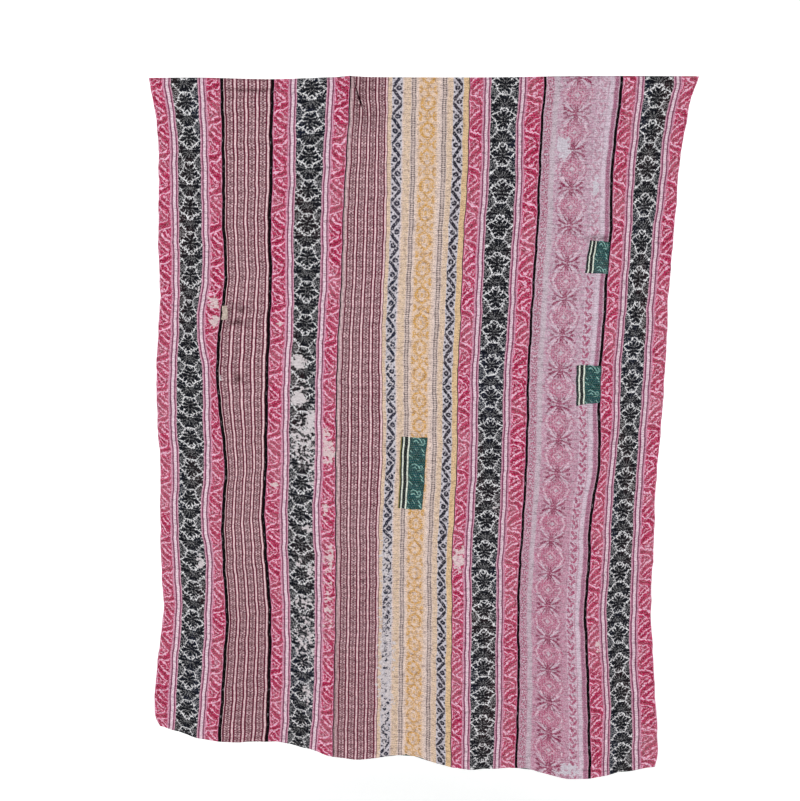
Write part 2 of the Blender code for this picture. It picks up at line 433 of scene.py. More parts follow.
WORN_PLACES = [
    # name, x, drop, half_width and half_height in millimetres, amount
    ("dark_2_upper_left", -344, 781, 18, 17, 1.15),
    ("dark_2_middle_left", -344, 880, 19, 19, 1.12),
    ("dark_2_right", -310, 946, 12, 40, 1.02),
    ("dark_2_between", -335, 850, 30, 30, 0.46),
    ("dark_2_heavy", -332, 1000, 40, 70, 0.60),
    ("dark_2_heavy_left", -352, 992, 12, 40, 0.66),
    ("dark_2_right_below", -305, 1080, 13, 50, 0.66),
    ("dark_2_fifth", -322, 1238, 14, 12, 0.86),
    ("dark_2_sixth_left", -343, 1330, 10, 12, 0.84),
    ("dark_2_sixth_right", -309, 1345, 14, 30, 0.72),
    ("dark_2_seventh", -326, 1440, 32, 22, 0.62),
    ("dark_2_long", -322, 1540, 36, 80, 0.56),
    ("dark_2_last", -318, 1690, 20, 34, 0.62),
    ("rose_hole", 382, 190, 15.5, 27, 1.20),
    ("rose_hole_tail", 374, 226, 8, 16, 1.00),
    ("rose_small_hole", 472, 299, 8, 20, 1.15),
    ("leaf_2_upper", -577, 618, 20, 19, 0.80),
    ("leaf_2_lower", -572, 668, 13, 16, 0.98),
    ("leaf_4_upper", -268, 1000, 11, 46, 0.82),
    ("leaf_4_middle", -262, 1030, 20, 26, 0.90),
    ("leaf_4_below", -270, 1190, 10, 30, 0.70),
    ("leaf_4_lower", -258, 1320, 10, 40, 0.80),
    ("leaf_4_long", -265, 1430, 20, 150, 0.50),
    ("dark_1_hole", -611, 1330, 11, 22, 0.90),
    ("leaf_5_hole", 96, 1317, 15, 34, 0.90),
    ("leaf_7_hole", 480, 1560, 12, 20, 0.80),
    ("leaf_3_spot", -411, 1120, 10, 12, 0.90),
    ("leaf_3_upper", -397, 676, 8, 10, 0.80),
    ("chain_spot", -441.7, 855, 4.2, 16, 1.00),
    ("chain_small_spot", -556, 823, 5.5, 9, 1.05),
    ("rose_hem", 394, 1892, 36, 20, 0.80),
    ("vine_low", -110, 1640, 17, 230, 0.76),
    ("vine_lower", -107, 1330, 16, 100, 0.68),
    ("ladder_low", -80, 1640, 10, 200, 0.56),
    ("vine_middle", -100, 820, 14, 150, 0.54),
    ("dark_1_upper", -617, 580, 12, 30, 0.56),
    ("dark_3_spot", 196, 1180, 10, 10, 0.66),
]
# Places darkened by soil, and round the pleat at the top edge by painted shade.
SOILED_AND_SHADED_PLACES = [
    # name, x, drop, half_width and half_height in millimetres, amount
    # The three pleat rows are painted shade round the fold.
    ("pleat", -180, 58, 10, 40, 0.46),
    ("chain_top", -475, 36, 52, 5, 0.70),
    ("chain_gather", -517, 672, 26, 6, 1.00),
    ("chain_gather_above", -501, 636, 10, 9, 0.90),
    ("chain_gather_left", -535, 640, 8, 14, 0.60),
    ("chain_dark_spot", -507, 827, 5, 10, 0.90),
    ("pleat_panel_top_shade", -170, 30, 40, 30, 0.34),
    ("pleat_panel_shade", -160, 110, 30, 24, 0.38),
    ("upper_patch_top", 478, 441, 26, 5, 0.80),
]


def line_place(name, drop):
    """Where a printed line, or an edge of the cloth, hangs at a drop."""
    if name == "left_edge":
        return side_places(drop)[0]
    if name == "right_edge":
        return side_places(drop)[1]
    return read_table(PRINTED_LINES, 1 + LINE_NAMES.index(name), drop)


def repeats_of(name, along):
    """How many repeats of a print lie above a point of the cloth."""
    step, *marks = REPEAT_MARKS[name]
    rows = [(mark, step * count) for count, mark in enumerate(marks)]
    rows = [(marks[0] - 0.10, -0.10 * step / (marks[1] - marks[0]))] + rows
    rows = rows + [(marks[3] + 0.10, 3 * step + 0.10 * step / (marks[3] - marks[2]))]
    return read_table(rows, 1, along)


# Each column of points has a band and a share of that band's width. The outermost ones are set close
# together, so that the turned-in edge is round.
bands = PRINTED_BANDS + [("right_edge", 0.0, 0, "", "", 1)]
columns = []
for number, (_, _, count, *_) in enumerate(PRINTED_BANDS):
    shares = PLEATED_SHARES if number == PLEATED_BAND else [step / count for step in range(count)]
    columns += [(number, share) for share in shares]
columns.append((len(PRINTED_BANDS) - 1, 1.0))
columns[1:1] = [(0, 0.02), (0, 0.05)]
columns[-1:-1] = [(len(PRINTED_BANDS) - 1, 0.95), (len(PRINTED_BANDS) - 1, 0.98)]
if len(columns) % BACK_STEP == 0:
    columns[3:3] = [(0, 0.12)]
column_band = np.array([band for band, _ in columns])
column_share = np.array([share for _, share in columns])
row_count = STITCH_ROWS * POINTS_A_ROW + 1
along = np.linspace(0.0, 1.0, row_count)[:, None] * np.ones((1, len(columns)))


def column_places(drop):
    """The sideways place of each point, from the two printed lines that its band lies between."""
    place = np.empty_like(drop)
    for column, (band, share) in enumerate(columns):
        start, end = bands[band], bands[band + 1]
        left = line_place(start[0], drop[:, column]) + start[1]
        right = line_place(end[0], drop[:, column]) + end[1]
        place[:, column] = left + (right - left) * share
    return place


drop = along * LONGEST_DROP
for _ in range(4):
    x = column_places(drop)
    left_edge, right_edge = side_places(drop)
    across = np.clip((x - left_edge) / (right_edge - left_edge), 0.0, 1.0)
    drop = drop_of(across, along)
flat_x = np.broadcast_to(column_places(np.full((1, len(columns)), 0.02)), x.shape)
flat_down = along * FLAT_LENGTH

# The hand sewing makes every printed line tremble a little, and more so on the old creases.
for sideways, downwards, across_pitch, down_pitch, shift in WOBBLES:
    turn = 2 * np.pi * (flat_x / across_pitch + flat_down / down_pitch) + shift
    x = x + sideways * np.sin(turn) * smooth(drop / WOBBLE_START)
    drop = drop + downwards * np.sin(turn * 0.83 + 2 * shift) * smooth(drop / WOBBLE_START)
for name, crease_along, half_width, _ in STORAGE_CREASES:
    near_crease = swell((along - crease_along) * LONGEST_DROP, half_width / 2)
    x = x + CREASE_JOG * near_crease * np.sin(flat_x / CREASE_JOG_PITCH + 40 * crease_along)
left_edge, right_edge = side_places(drop)

# The relief of the sewing: a low ridge between every two rows of stitches, and short soft wrinkles. It is
# pressed flatter along the turned edges.
def cloth_wave(turn_across, turn_down, shift=0.0):
    """A wave over the flat cloth, which turns by so many radians in each metre across and down."""
    return np.sin(turn_across * flat_x + turn_down * flat_down + shift)


row_wander = ROW_WANDER * (cloth_wave(31.0, 7.0) + cloth_wave(13.0, -23.0))
ridges = np.cos(np.pi * np.arange(row_count))[:, None] * (1.0 + 0.5 * cloth_wave(57.0, 0.0, row_wander))
tautness = cloth_wave(83.0, 900.0, row_wander) * cloth_wave(37.0, -610.0)
ridges = ridges * (1.0 - SLACK_SHARE + SLACK_SHARE * tautness)
relief = ROW_RELIEF * ridges
for height, across_pitch, down_pitch, shift in WRINKLES:
    bend = 1.5 * np.sin(flat_x / 0.21 + shift) + 1.2 * np.sin(flat_down / 0.17 + 2 * shift)
    waves = np.sin(2 * np.pi * flat_x / across_pitch + shift + bend)
    waves = waves * np.sin(2 * np.pi * flat_down / down_pitch + bend * 1.7)
    relief = relief + height * waves

# A pleat taken at the top edge: the cloth rises to a fold that leans to the right and runs out below.
pleat_place = x - PLEAT_TOP_X - (PLEAT_FOOT_X - PLEAT_TOP_X) * drop / PLEAT_DROP
pleat_fading = 1 - smooth(drop / PLEAT_DROP - PLEAT_FULL)
pleat = np.where(
    pleat_place < 0,
    smooth(1 + pleat_place / PLEAT_RISE),
    1 - np.clip(pleat_place / PLEAT_FALL, 0.0, 1.0),
)
pleat = PLEAT_HEIGHT * pleat * pleat_fading

# The edge rolls back over the last few millimetres to meet the back of the quilt.
edge_gap = np.minimum(
    np.minimum(x - left_edge, right_edge - x),
    np.minimum(along, 1 - along) * LONGEST_DROP,
)
roll = np.clip(1 - edge_gap / EDGE_ROUND, 0.0, 1.0)
rolled_back = (QUILT_THICKNESS / 2) * (1 - np.sqrt(1 - roll * roll))
relief = relief * (PRESSED_SHARE + (1 - PRESSED_SHARE) * smooth(edge_gap / PRESSED_EDGE))
forward = forward_of(x, drop, along) + pleat
face_y = -QUILT_THICKNESS / 2 - forward - relief * (1 - roll) + rolled_back
face_points = np.stack([x, face_y, -drop], axis=-1)
back_relief = BACK_RELIEF * (relief - ROW_RELIEF * ridges) * (1 - roll)
back_y = QUILT_THICKNESS / 2 - forward - rolled_back - back_relief
back_points = np.stack([x, back_y, -drop], axis=-1)[::BACK_STEP, ::BACK_STEP]


def close_sheet(name, face, back, step):
    """A closed sheet from its grid of face points and its coarser grid of back points, joined at the rim."""
    rows, cols = face.shape[:2]
    front = np.arange(rows * cols).reshape(rows, cols)
    behind = rows * cols + np.arange(back.shape[0] * back.shape[1]).reshape(back.shape[:2])
    quads = np.stack([front[1:, :-1], front[1:, 1:], front[:-1, 1:], front[:-1, :-1]], axis=-1)
    faces = quads.reshape(-1, 4).tolist()
    quads = np.stack([behind[:-1, :-1], behind[:-1, 1:], behind[1:, 1:], behind[1:, :-1]], axis=-1)
    faces += quads.reshape(-1, 4).tolist()
    rims = [
        (front[0], behind[0], 1),
        (front[-1], behind[-1], -1),
        (front[:, 0], behind[:, 0], -1),
        (front[:, -1], behind[:, -1], 1),
    ]
    for outer, inner, turn in rims:
        for place in range(len(inner) - 1):
            ring = outer[place * step:(place + 1) * step + 1].tolist()
            ring += inner[place:place + 2].tolist()[::-1]
            faces.append(ring[::turn])
    mesh = bpy.data.meshes.new(name)
    mesh.from_pydata(np.concatenate([face.reshape(-1, 3), back.reshape(-1, 3)]).tolist(), [], faces)
    piece = new_object(name, mesh)
    mesh.shade_smooth()
    return piece


quilt = close_sheet("kantha_quilt", face_points, back_points, BACK_STEP)


def write_map(piece, name, corners):
    """A UV map from an array of (across, down) for each corner of each face."""
    layer = piece.data.uv_layers.new(name=name)
    layer.data.foreach_set("uv", np.ascontiguousarray(corners, dtype=np.float32).ravel())


def write_grid_map(piece, name, grid):
    """A UV map from the grid of places over a sheet's face. Its back carries on with the same places."""
    corner_vertex = np.empty(len(piece.data.loops), dtype=np.int64)
    piece.data.loops.foreach_get("vertex_index", corner_vertex)
    both = np.concatenate([grid.reshape(-1, 2), grid[::BACK_STEP, ::BACK_STEP].reshape(-1, 2)])
    write_map(piece, name, both[corner_vertex])


# The cloth's own map holds the place on the flat cloth, in metres. The print's map holds the share of the
# band's width and the count of repeats, and only the face has it.
write_grid_map(quilt, "cloth", np.stack([flat_x, flat_down], axis=-1))
print_places = np.zeros((len(quilt.data.loops), 2))
quad_band = column_band[:-1]
left_share = column_share[:-1]
right_share = np.where(column_band[1:] == quad_band, column_share[1:], 1.0)
quad_repeats = np.zeros((row_count - 1, len(columns) - 1, 2))
for band, (_, _, _, _, repeats, turned) in enumerate(PRINTED_BANDS):
    for column in np.flatnonzero(quad_band == band):
        counted = turned * repeats_of(repeats, along[:, column])
        quad_repeats[:, column, 0] = counted[:-1]
        quad_repeats[:, column, 1] = counted[1:]
shares = np.broadcast_to(
    np.stack([left_share, right_share, right_share, left_share], axis=-1)[None],
    (row_count - 1, len(columns) - 1, 4),
).copy()
pleated = np.flatnonzero(quad_band == PLEATED_BAND)
panel_start, panel_end = x[:, pleated[:1]], x[:, pleated[-1:] + 1]
beyond_pleat = (pleat_place[:, pleated] + pleat_place[:, pleated + 1]) / 2 > TUCK_PLACE
still_pleated = 1 - smooth(drop[:, pleated] / PLEAT_DROP - TUCK_FULL)
for side_step, corners in ((0, (0, 3)), (1, (1, 2))):
    place = x[:, pleated + side_step]
    plain = (place - panel_start) / (panel_end - panel_start)
    tucked = np.where(
        beyond_pleat,
        1 - (panel_end - place) / PANEL_FLAT_WIDTH,
        (place - panel_start) / PANEL_FLAT_WIDTH,
    )
    tucked = plain + (tucked - plain) * still_pleated
    lower_corner, upper_corner = corners
    shares[:, pleated, lower_corner] = tucked[1:]
    shares[:, pleated, upper_corner] = tucked[:-1]
counts = quad_repeats[:, :, [1, 1, 0, 0]]
front_corners = shares.size
print_places[:front_corners] = np.stack([shares, counts], axis=-1).reshape(-1, 2)
write_map(quilt, "print", print_places)

# How worn each point of the face is, where the top cloth has rubbed through, and how soiled or darkened by
# painted shade, which stands in for the shade round the pleat. The back has neither mark.
unmarked_back = np.zeros(back_points.shape[0] * back_points.shape[1])
for mark_name, marked_places, sharpness in (("wear", WORN_PLACES, 1.2), ("soil_and_shade", SOILED_AND_SHADED_PLACES, 1.0)):
    amounts = np.zeros_like(x)
    for _, *measures, amount in marked_places:
        mark_x, mark_drop, half_width, half_height = (measure / 1000 for measure in measures)
        reach = ((x - mark_x) / half_width) ** 2 + ((drop - mark_drop) / half_height) ** 2
        amounts = np.maximum(amounts, amount * np.exp(-MARK_FALL * reach ** sharpness))
    mark = quilt.data.attributes.new(mark_name, "FLOAT", "POINT")
    mark.data.foreach_set("value", np.concatenate([amounts.ravel(), unmarked_back]).astype(np.float32))


def colour_of(red, green, blue):
    """A colour as it looks in daylight, each part from 0 to 255, on Blender's linear scale."""
    linear = [
        part / 12.92 if part <= 0.04045 else ((part + 0.055) / 1.055) ** 2.4
        for part in (red / 255, green / 255, blue / 255)
    ]
    return (*linear, 1.0)


def fill(slot, value):
    """Links an Amount into a node's slot, or sets the slot to a fixed value. A colour is as in daylight."""
    if isinstance(value, Amount):
        slot.id_data.links.new(value.socket, slot)
    else:
        slot.default_value = colour_of(*value) if slot.type == "RGBA" else value


def new_node(tree, kind, inputs, output=0, **settings):
    """A node with its settings and what is put into its slots, as an Amount of one of its outputs."""
    node = tree.nodes.new("ShaderNode" + kind)
    for setting, value in settings.items():
        setattr(node, setting, value)
    for name, value in inputs.items():
        fill(node.inputs[name], value)
    return Amount(node.outputs[output])


def worked_by(operation):
    """A method that works out a new Amount by a Math node."""
    return lambda self, *others: self.apply(operation, *others)


class Amount:
    """A number that changes over the cloth, worked out by Math nodes in one node tree."""

    def __init__(self, socket):
        self.socket = socket
        self.tree = socket.id_data

    def apply(self, operation, *others):
        return new_node(self.tree, "Math", dict(enumerate((self, *others))), operation=operation)

    __add__ = worked_by("ADD")
    __sub__ = worked_by("SUBTRACT")
    __mul__ = worked_by("MULTIPLY")
    __truediv__ = worked_by("DIVIDE")
    __abs__ = worked_by("ABSOLUTE")
    either = worked_by("MAXIMUM")
    lesser = worked_by("MINIMUM")
    root = worked_by("SQRT")
    part = worked_by("FRACT")       # what is left after the whole number
    swing = worked_by("PINGPONG")   # runs from 0 up to a reach and down again, over and over

    def inverse(self):
        return self * -1.0 + 1.0

    def step(self, low, high):
        """Eases from 0 at low to 1 at high, or the other way where low is the higher."""
        rising = low < high
        ends = {
            "Value": self,
            "From Min": min(low, high),
            "From Max": max(low, high),
            "To Min": 0.0 if rising else 1.0,
            "To Max": 1.0 if rising else 0.0,
        }
        return new_node(self.tree, "MapRange", ends, interpolation_type="SMOOTHSTEP")

    def stroke(self, half_width, blur=0.012):
        """1 where this is nearer to 0 than half_width."""
        return abs(self).step(half_width + blur, half_width - blur)

    def between(self, low, high, blur=0.02):
        """1 where this lies between two values."""
        return (self - (low + high) / 2).stroke((high - low) / 2, blur)


def blend(amount, first, second, mode="MIX"):
    """A colour between two others, each of them a fixed colour or an Amount that holds a colour."""
    ends = {"Factor": amount, 6: first, 7: second}
    return new_node(amount.tree, "Mix", ends, 2, data_type="RGBA", blend_type=mode)


def lumps(place, rate_across, rate_down, seed, detail=2.0):
    """Uneven values around 0.5. place is an across and a down, and the rates are the lumps in 1 of each."""
    across, down = place
    tree = across.tree
    scaled = new_node(tree, "CombineXYZ", {"X": across * rate_across, "Y": down * rate_down, "Z": seed})
    inputs = {"Vector": scaled, "Scale": 1.0, "Detail": detail, "Roughness": 0.6}
    return new_node(tree, "TexNoise", inputs, "Fac")


# This much is added to each cut, so that a ring's middle isn't a cut of no length.
SHORTEST_CUT = 0.001


def gap_to_cut(place, start, end):
    """How far each place is from the straight cut between two points of a chart."""
    tree = place.tree
    reach = (end[0] - start[0], end[1] - start[1], 0.0)
    square = reach[0] ** 2 + reach[1] ** 2
    along_reach = (reach[0] / square, reach[1] / square, 0.0)
    off = new_node(tree, "VectorMath", {0: place, 1: (*start, 0.0)}, operation="SUBTRACT")
    share = new_node(tree, "VectorMath", {0: off, 1: along_reach}, "Value", operation="DOT_PRODUCT")
    within = new_node(tree, "Clamp", {"Value": share})
    near = new_node(tree, "VectorMath", {0: reach, "Scale": within}, operation="SCALE")
    return new_node(tree, "VectorMath", {0: off, 1: near}, "Value", operation="DISTANCE")


def carved(chart, across, down, length, blur=0.30):
    """The carving of a printing block. Each row of its chart is half the width of a cut, its strength and
    the points that the cut runs through, or a ring's middle and its radius. The chart is measured in
    squares and repeats after a length of them."""
    place = new_node(across.tree, "CombineXYZ", {"X": across, "Y": down})
    marks = None
    for half_width, strength, *points in chart:
        radius = points.pop() if isinstance(points[-1], float) else 0.0
        points = points if len(points) > 1 else points * 2
        gap = None
        spread = half_width + radius + blur
        for start, end in zip(points, points[1:]):
            for lift in (-length, 0.0, length):
                low = min(start[1], end[1]) + lift
                high = max(start[1], end[1]) + lift
                if high + spread < 0 or low - spread > length:
                    continue
                low_end = (start[0], start[1] + lift)
                high_end = (end[0] + SHORTEST_CUT, end[1] + lift)
                cut = gap_to_cut(place, low_end, high_end)
                gap = cut if gap is None else gap.lesser(cut)
        gap = abs(gap - radius) if radius else gap
        mark = gap.step(half_width + blur, half_width - blur) * strength
        marks = mark if marks is None else marks.either(mark)
    return marks


def parts_of(place):
    """The parts of a place, each an Amount."""
    across = new_node(place.tree, "SeparateXYZ", {"Vector": place})
    return [Amount(socket) for socket in across.socket.node.outputs]


def read_map(tree, name):
    """The across and the down of one of the cloth's UV maps."""
    return parts_of(new_node(tree, "UVMap", {}, uv_map=name))[:2]


def new_group(name, inputs, outputs):
    """A shader node group: the group, its inputs by name and the slots of its outputs."""
    group = bpy.data.node_groups.new(name, "ShaderNodeTree")
    for socket_name, value in inputs.items():
        kind = "Color" if isinstance(value, tuple) else "Float"
        socket = group.interface.new_socket(socket_name, in_out="INPUT", socket_type="NodeSocket" + kind)
        socket.default_value = colour_of(*value) if isinstance(value, tuple) else value
    for socket_name, kind in outputs.items():
        group.interface.new_socket(socket_name, in_out="OUTPUT", socket_type="NodeSocket" + kind)
    start = group.nodes.new("NodeGroupInput")
    end = group.nodes.new("NodeGroupOutput")
    return group, {taken: Amount(start.outputs[taken]) for taken in inputs}, end.inputs


def painted(colour, *coats):
    """A colour under coats of others, each with how much of it there is and how it mixes."""
    for amount, *coat in coats:
        colour = blend(amount, colour, *coat)
    return colour


# The old cotton itself, for every print: the weave, the rows of running stitch with a hollow along each that
# is darkened as painted shade, dye that has faded in clouds, the white threads that show where the top cloth
# is worn away, and the marks of soil and of painted shade round the pleat.
ROWS_A_METRE = STITCH_ROWS / FLAT_LENGTH
STITCHES_A_METRE = 165.0
WORN_SHADE = (176, 168, 174)
NUB_LIGHT = (304.5150, 304.5150, 304.5150)
# The colour of soil, also multiplied in as painted shade round the pleat.
SOIL_AND_SHADE_BROWN = (116, 88, 92)
PLEAT_GAP_TOP = (-0.1925, 0.014)
PLEAT_GAP_FALL = 0.076
PLEAT_GAP_SLANT = 0.0250
THIN_GAP = (0.0012, 0.0007)
THICK_GAP = (0.0028, 0.0010)
GAP_RAGGED = 0.0010
GAP_SHADE = (70, 40, 52)

stitched_cotton, given, result = new_group(
    "stitched_cotton",
    {
        "Print": (200, 100, 120),
        "Thread": (214, 200, 200),
        "Fade": 0.16,
        "Stitches": 0.22,
        "Fade Colour": (214, 186, 194),
        "Grain": 1.0,
        "Wear": 1.0,
        "Worn": (214, 207, 209),
    },
    {"Colour": "Color", "Normal": "Vector"},
)
metres = read_map(stitched_cotton, "cloth")
metres_across, metres_down = metres
wander = lumps(metres, 9.0, 30.0, 3.0, 1.0)
row = metres_down * ROWS_A_METRE + wander * 1.1
row_place = row.part()
row_shift = (row - row_place) * 0.618
hollow = (row_place - 0.5).stroke(0.26, 0.24)
dash = (metres_across * STITCHES_A_METRE + row_shift).part() - 0.5
stitch = (row_place - 0.5).stroke(0.12, 0.10) * dash.stroke(0.27, 0.10)
weave = lumps(metres, 900.0, 260.0, 5.0, 1.0)
slubs = lumps(metres, 120.0, 620.0, 8.0, 2.0)
clouds = lumps(metres, 9.0, 7.0, 11.0, 3.0)
blotches = lumps(metres, 85.0, 110.0, 14.0, 2.0)
nubs = lumps(metres, 300.0, 360.0, 17.0, 1.0)
tension = lumps(metres, 28.0, 120.0, 33.0, 1.0)
# The hollow along each row sinks the bump, and darkens the colour there as painted shade.
sunk_and_shaded = hollow * tension.step(0.34, 0.66)
worn_at = new_node(stitched_cotton, "Attribute", {}, "Fac", attribute_name="wear")
shreds = lumps(metres, 95.0, 330.0, 21.0, 3.0)
rags = lumps(metres, 72.0, 84.0, 24.0, 4.0)
tatters = (rags - 0.5) * 2.5 + (shreds - 0.5) * 0.5
worn_through = (worn_at + tatters * worn_at.step(0.04, 0.40)) * given["Wear"]
frayed = blend(shreds.step(0.58, 0.42) * 0.34, given["Worn"], WORN_SHADE, "MULTIPLY")
frayed = blend(nubs.step(0.44, 0.62) * 0.40, frayed, WORN_SHADE, "MULTIPLY")
# Soil, and painted shade round the pleat, as marked on the face.
soil_and_shade_at = new_node(stitched_cotton, "Attribute", {}, "Fac", attribute_name="soil_and_shade")
grime_and_shade = soil_and_shade_at * (rags.step(0.36, 0.56) * 0.7 + 0.3)
colour = painted(
    given["Print"],
    (clouds.step(0.38, 0.72) * given["Fade"], given["Fade Colour"]),
    (blotches.step(0.54, 0.74) * given["Fade"] * 1.4, given["Fade Colour"]),
    (blotches.step(0.48, 0.32) * given["Grain"] * 0.42, (120, 96, 108), "MULTIPLY"),
    (stitch * given["Stitches"], given["Thread"]),
    (slubs.step(0.40, 0.70) * given["Grain"] * 0.32, (110, 100, 104), "MULTIPLY"),
    (nubs.step(0.46, 0.68) * given["Grain"] * 0.40, (96, 86, 90), "MULTIPLY"),
    (nubs.step(0.46, 0.24) * given["Grain"] * 0.30, NUB_LIGHT, "MULTIPLY"),
    # painted shade in the hollows along the rows
    (sunk_and_shaded * 0.30, (104, 88, 98), "MULTIPLY"),
    (worn_through.step(0.54, 0.64), frayed),
    # soil, and painted shade round the pleat
    (grime_and_shade, SOIL_AND_SHADE_BROWN, "MULTIPLY"),
)

# The shade in the narrow gap under the slanting pleat: a thin and slightly ragged line all the way down,
# thicker in its lower half, and only on the soiled face.
hung_x, _, hung_z = parts_of(new_node(stitched_cotton, "TexCoord", {}, "Object"))
down_gap = (hung_z * -1.0 - PLEAT_GAP_TOP[1]) / PLEAT_GAP_FALL
off_gap = hung_x - PLEAT_GAP_TOP[0] - down_gap * PLEAT_GAP_SLANT + (slubs - 0.5) * GAP_RAGGED
thin_gap = off_gap.stroke(*THIN_GAP) * down_gap.between(0.02, 0.98, 0.06)
thick_gap = off_gap.stroke(*THICK_GAP) * down_gap.between(0.46, 0.88, 0.12)
gap = thin_gap.either(thick_gap) * soil_and_shade_at.step(0.02, 0.08)
colour = blend(gap, colour, GAP_SHADE, "MULTIPLY")
fill(result["Colour"], colour)
height = weave * 0.25 + slubs * 0.35 - sunk_and_shaded * 0.9 + stitch * 0.35 - worn_through.step(0.50, 0.70) * 0.6
bump = {"Strength": 0.6, "Distance": 0.0006, "Height": height}
fill(result["Normal"], new_node(stitched_cotton, "Bump", bump))


def cotton(name, print_group, fade=0.16, stitches=0.22, sewing=None, **settings):
    """Printed and stitched cotton in one of the prints. sewing has more settings of the stitched cotton."""
    material = new_surface(name, {"Roughness": 0.92, "Specular IOR Level": 0.05})
    tree = material.node_tree
    shader = tree.nodes["Principled BSDF"]
    across, repeats = read_map(tree, "print")
    settings = {"Across": across, "Repeats": repeats, **settings}
    printed = new_node(tree, "Group", settings, node_tree=print_group)
    sewing = {"Print": printed, "Fade": fade, "Stitches": stitches, **(sewing or {})}
    sewn = new_node(tree, "Group", sewing, "Colour", node_tree=stitched_cotton)
    fill(shader.inputs["Base Color"], sewn)
    fill(shader.inputs["Normal"], Amount(sewn.socket.node.outputs["Normal"]))
    return material


# The prints. Each is a group that takes the share of its band's width and the count of repeats.
def new_print(name, *more_inputs):
    """A print's node group, its output, its place as the across and the repeats, and its more inputs."""
    inputs = dict.fromkeys(("Across", "Repeats", *more_inputs), 0.0)
    group, given, result = new_group(name, inputs, {"Colour": "Color"})
    across, repeats, *more = given.values()
    return (group, result["Colour"], (across, repeats), *more)


# The leaf border: on a crimson ground a winding stem of three pale lines crosses from left to right and
# comes back in two, round a deep red vein, with little leaves in the corners that it leaves.
CRIMSON = (190, 22, 82)
DEEP_CRIMSON = (138, 8, 50)
PALE_PINK = (248, 196, 220)
FADED_PINK = (214, 120, 160)
LEAF_SQUARES = (14.5, 34.0)
PALE_STEMS = [
    # half_width, strength, places
    (0.66, 1.0, (0.8, 27.2), (4.7, 25.8), (8.6, 24.4), (10.4, 22.4)),
    (0.70, 1.0, (0.9, 34.0), (3.4, 32.4), (8.0, 31.4), (11.6, 30.2), (14.3, 27.8)),
    (0.95, 1.0, (6.4, 34.0), (7.4, 34.4)),
    (0.70, 1.0, (4.0, 4.4), (7.2, 7.4), (10.8, 9.6), (14.2, 10.8)),
    (0.74, 1.0, (0.4, 9.0), (2.6, 12.4), (6.4, 16.0), (10.4, 18.4)),
    (0.50, 0.9, (0.6, 15.0), (0.8, 20.0), (1.6, 24.4)),
    (0.46, 0.8, (13.9, 13.0), (14.3, 18.0), (13.6, 23.4)),
    (0.56, 0.9, (8.4, 0.2), (10.2, 3.6), (14.0, 6.0)),
    (0.50, 0.8, (2.6, 16.6), (5.4, 20.4), (8.6, 21.6)),
    (0.44, 0.7, (0.8, 0.6), (2.4, 3.6)),
    (0.42, 0.7, (11.6, 17.6), (10.8, 20.6)),
    (0.42, 0.6, (11.6, -0.4), (13.6, 2.2)),
    (0.40, 0.6, (3.0, 23.6), (5.4, 22.6)),
]
DEEP_CUTS = [
    (0.80, 1.0, (0.6, 30.4), (4.4, 29.2), (9.0, 27.8), (13.2, 25.0)),
    (0.80, 1.0, (1.6, 4.2), (3.6, 8.4), (7.4, 12.0), (12.0, 14.2), (12.8, 17.0)),
    (0.60, 0.8, (5.8, 2.0), (9.0, 5.8), (13.6, 8.2)),
    (0.75, 0.9, (1.2, 13.0), (4.2, 17.2), (8.4, 20.0)),
    (1.00, 1.0, (3.2, 21.6), (6.6, 23.4)),
    (0.80, 0.9, (12.4, 19.0), (12.7, 21.6)),
    (0.80, 0.9, (9.8, 33.4), (12.8, 32.0)),
    (0.80, 0.9, (3.4, 35.2), (4.4, 36.8)),
    (0.70, 0.8, (11.2, 2.8), (12.8, 4.0)),
]
leaf_border, output, place = new_print("leaf_border")
across, repeats = place
bent = lumps(place, 3.0, 7.0, 2.0, 1.0) - 0.5
ragged = lumps(place, 7.0, 17.0, 22.0, 1.0) - 0.5
square_across = across * LEAF_SQUARES[0] + bent * 2.8 + ragged * 3.0
square_down = repeats.part() * LEAF_SQUARES[1] + bent * 4.6 - ragged * 4.2
breaks = lumps(place, 7.0, 18.0, 6.0, 1.0)
pale = carved(PALE_STEMS, square_across, square_down, LEAF_SQUARES[1], 0.26) * breaks.step(0.26, 0.40)
crumbs = lumps(place, 10.0, 24.0, 36.0, 1.0)
pale = pale.either(crumbs.step(0.61, 0.66) * 0.50)
deep = carved(DEEP_CUTS, square_across, square_down, LEAF_SQUARES[1])
deep = deep.either(breaks.step(0.54, 0.66) * 0.5)
middling = lumps(place, 11.0, 17.0, 26.0, 1.0).step(0.50, 0.66)
margin = abs(across - 0.5).step(0.43, 0.48)
fill(output, painted(
    CRIMSON,
    (middling * 0.34, FADED_PINK),
    (deep * 0.9, DEEP_CRIMSON),
    (pale, PALE_PINK),
    (margin * 0.8, FADED_PINK),
))

# The striped strip: two mauve lines between pale stripes.
MAUVE_LINE = (134, 54, 94)
STRIPE_WHITE = (240, 214, 226)
STRIPE_PINK = (218, 166, 186)
stripes, output, place = new_print("stripes")
across = place[0]
uneven = lumps(place, 6.0, 16.0, 4.0)
lines = across.between(0.17, 0.34, 0.04).either(across.between(0.70, 0.86, 0.04)) * uneven.step(0.22, 0.40)
cloth_x = read_map(stripes, "cloth")[0]
fill(output, painted(
    STRIPE_PINK,
    (across.between(0.34, 0.70, 0.04), STRIPE_WHITE),
    (lines, MAUVE_LINE),
    (cloth_x.step(-0.10, 0.30) * 0.08, MAUVE_LINE),
))

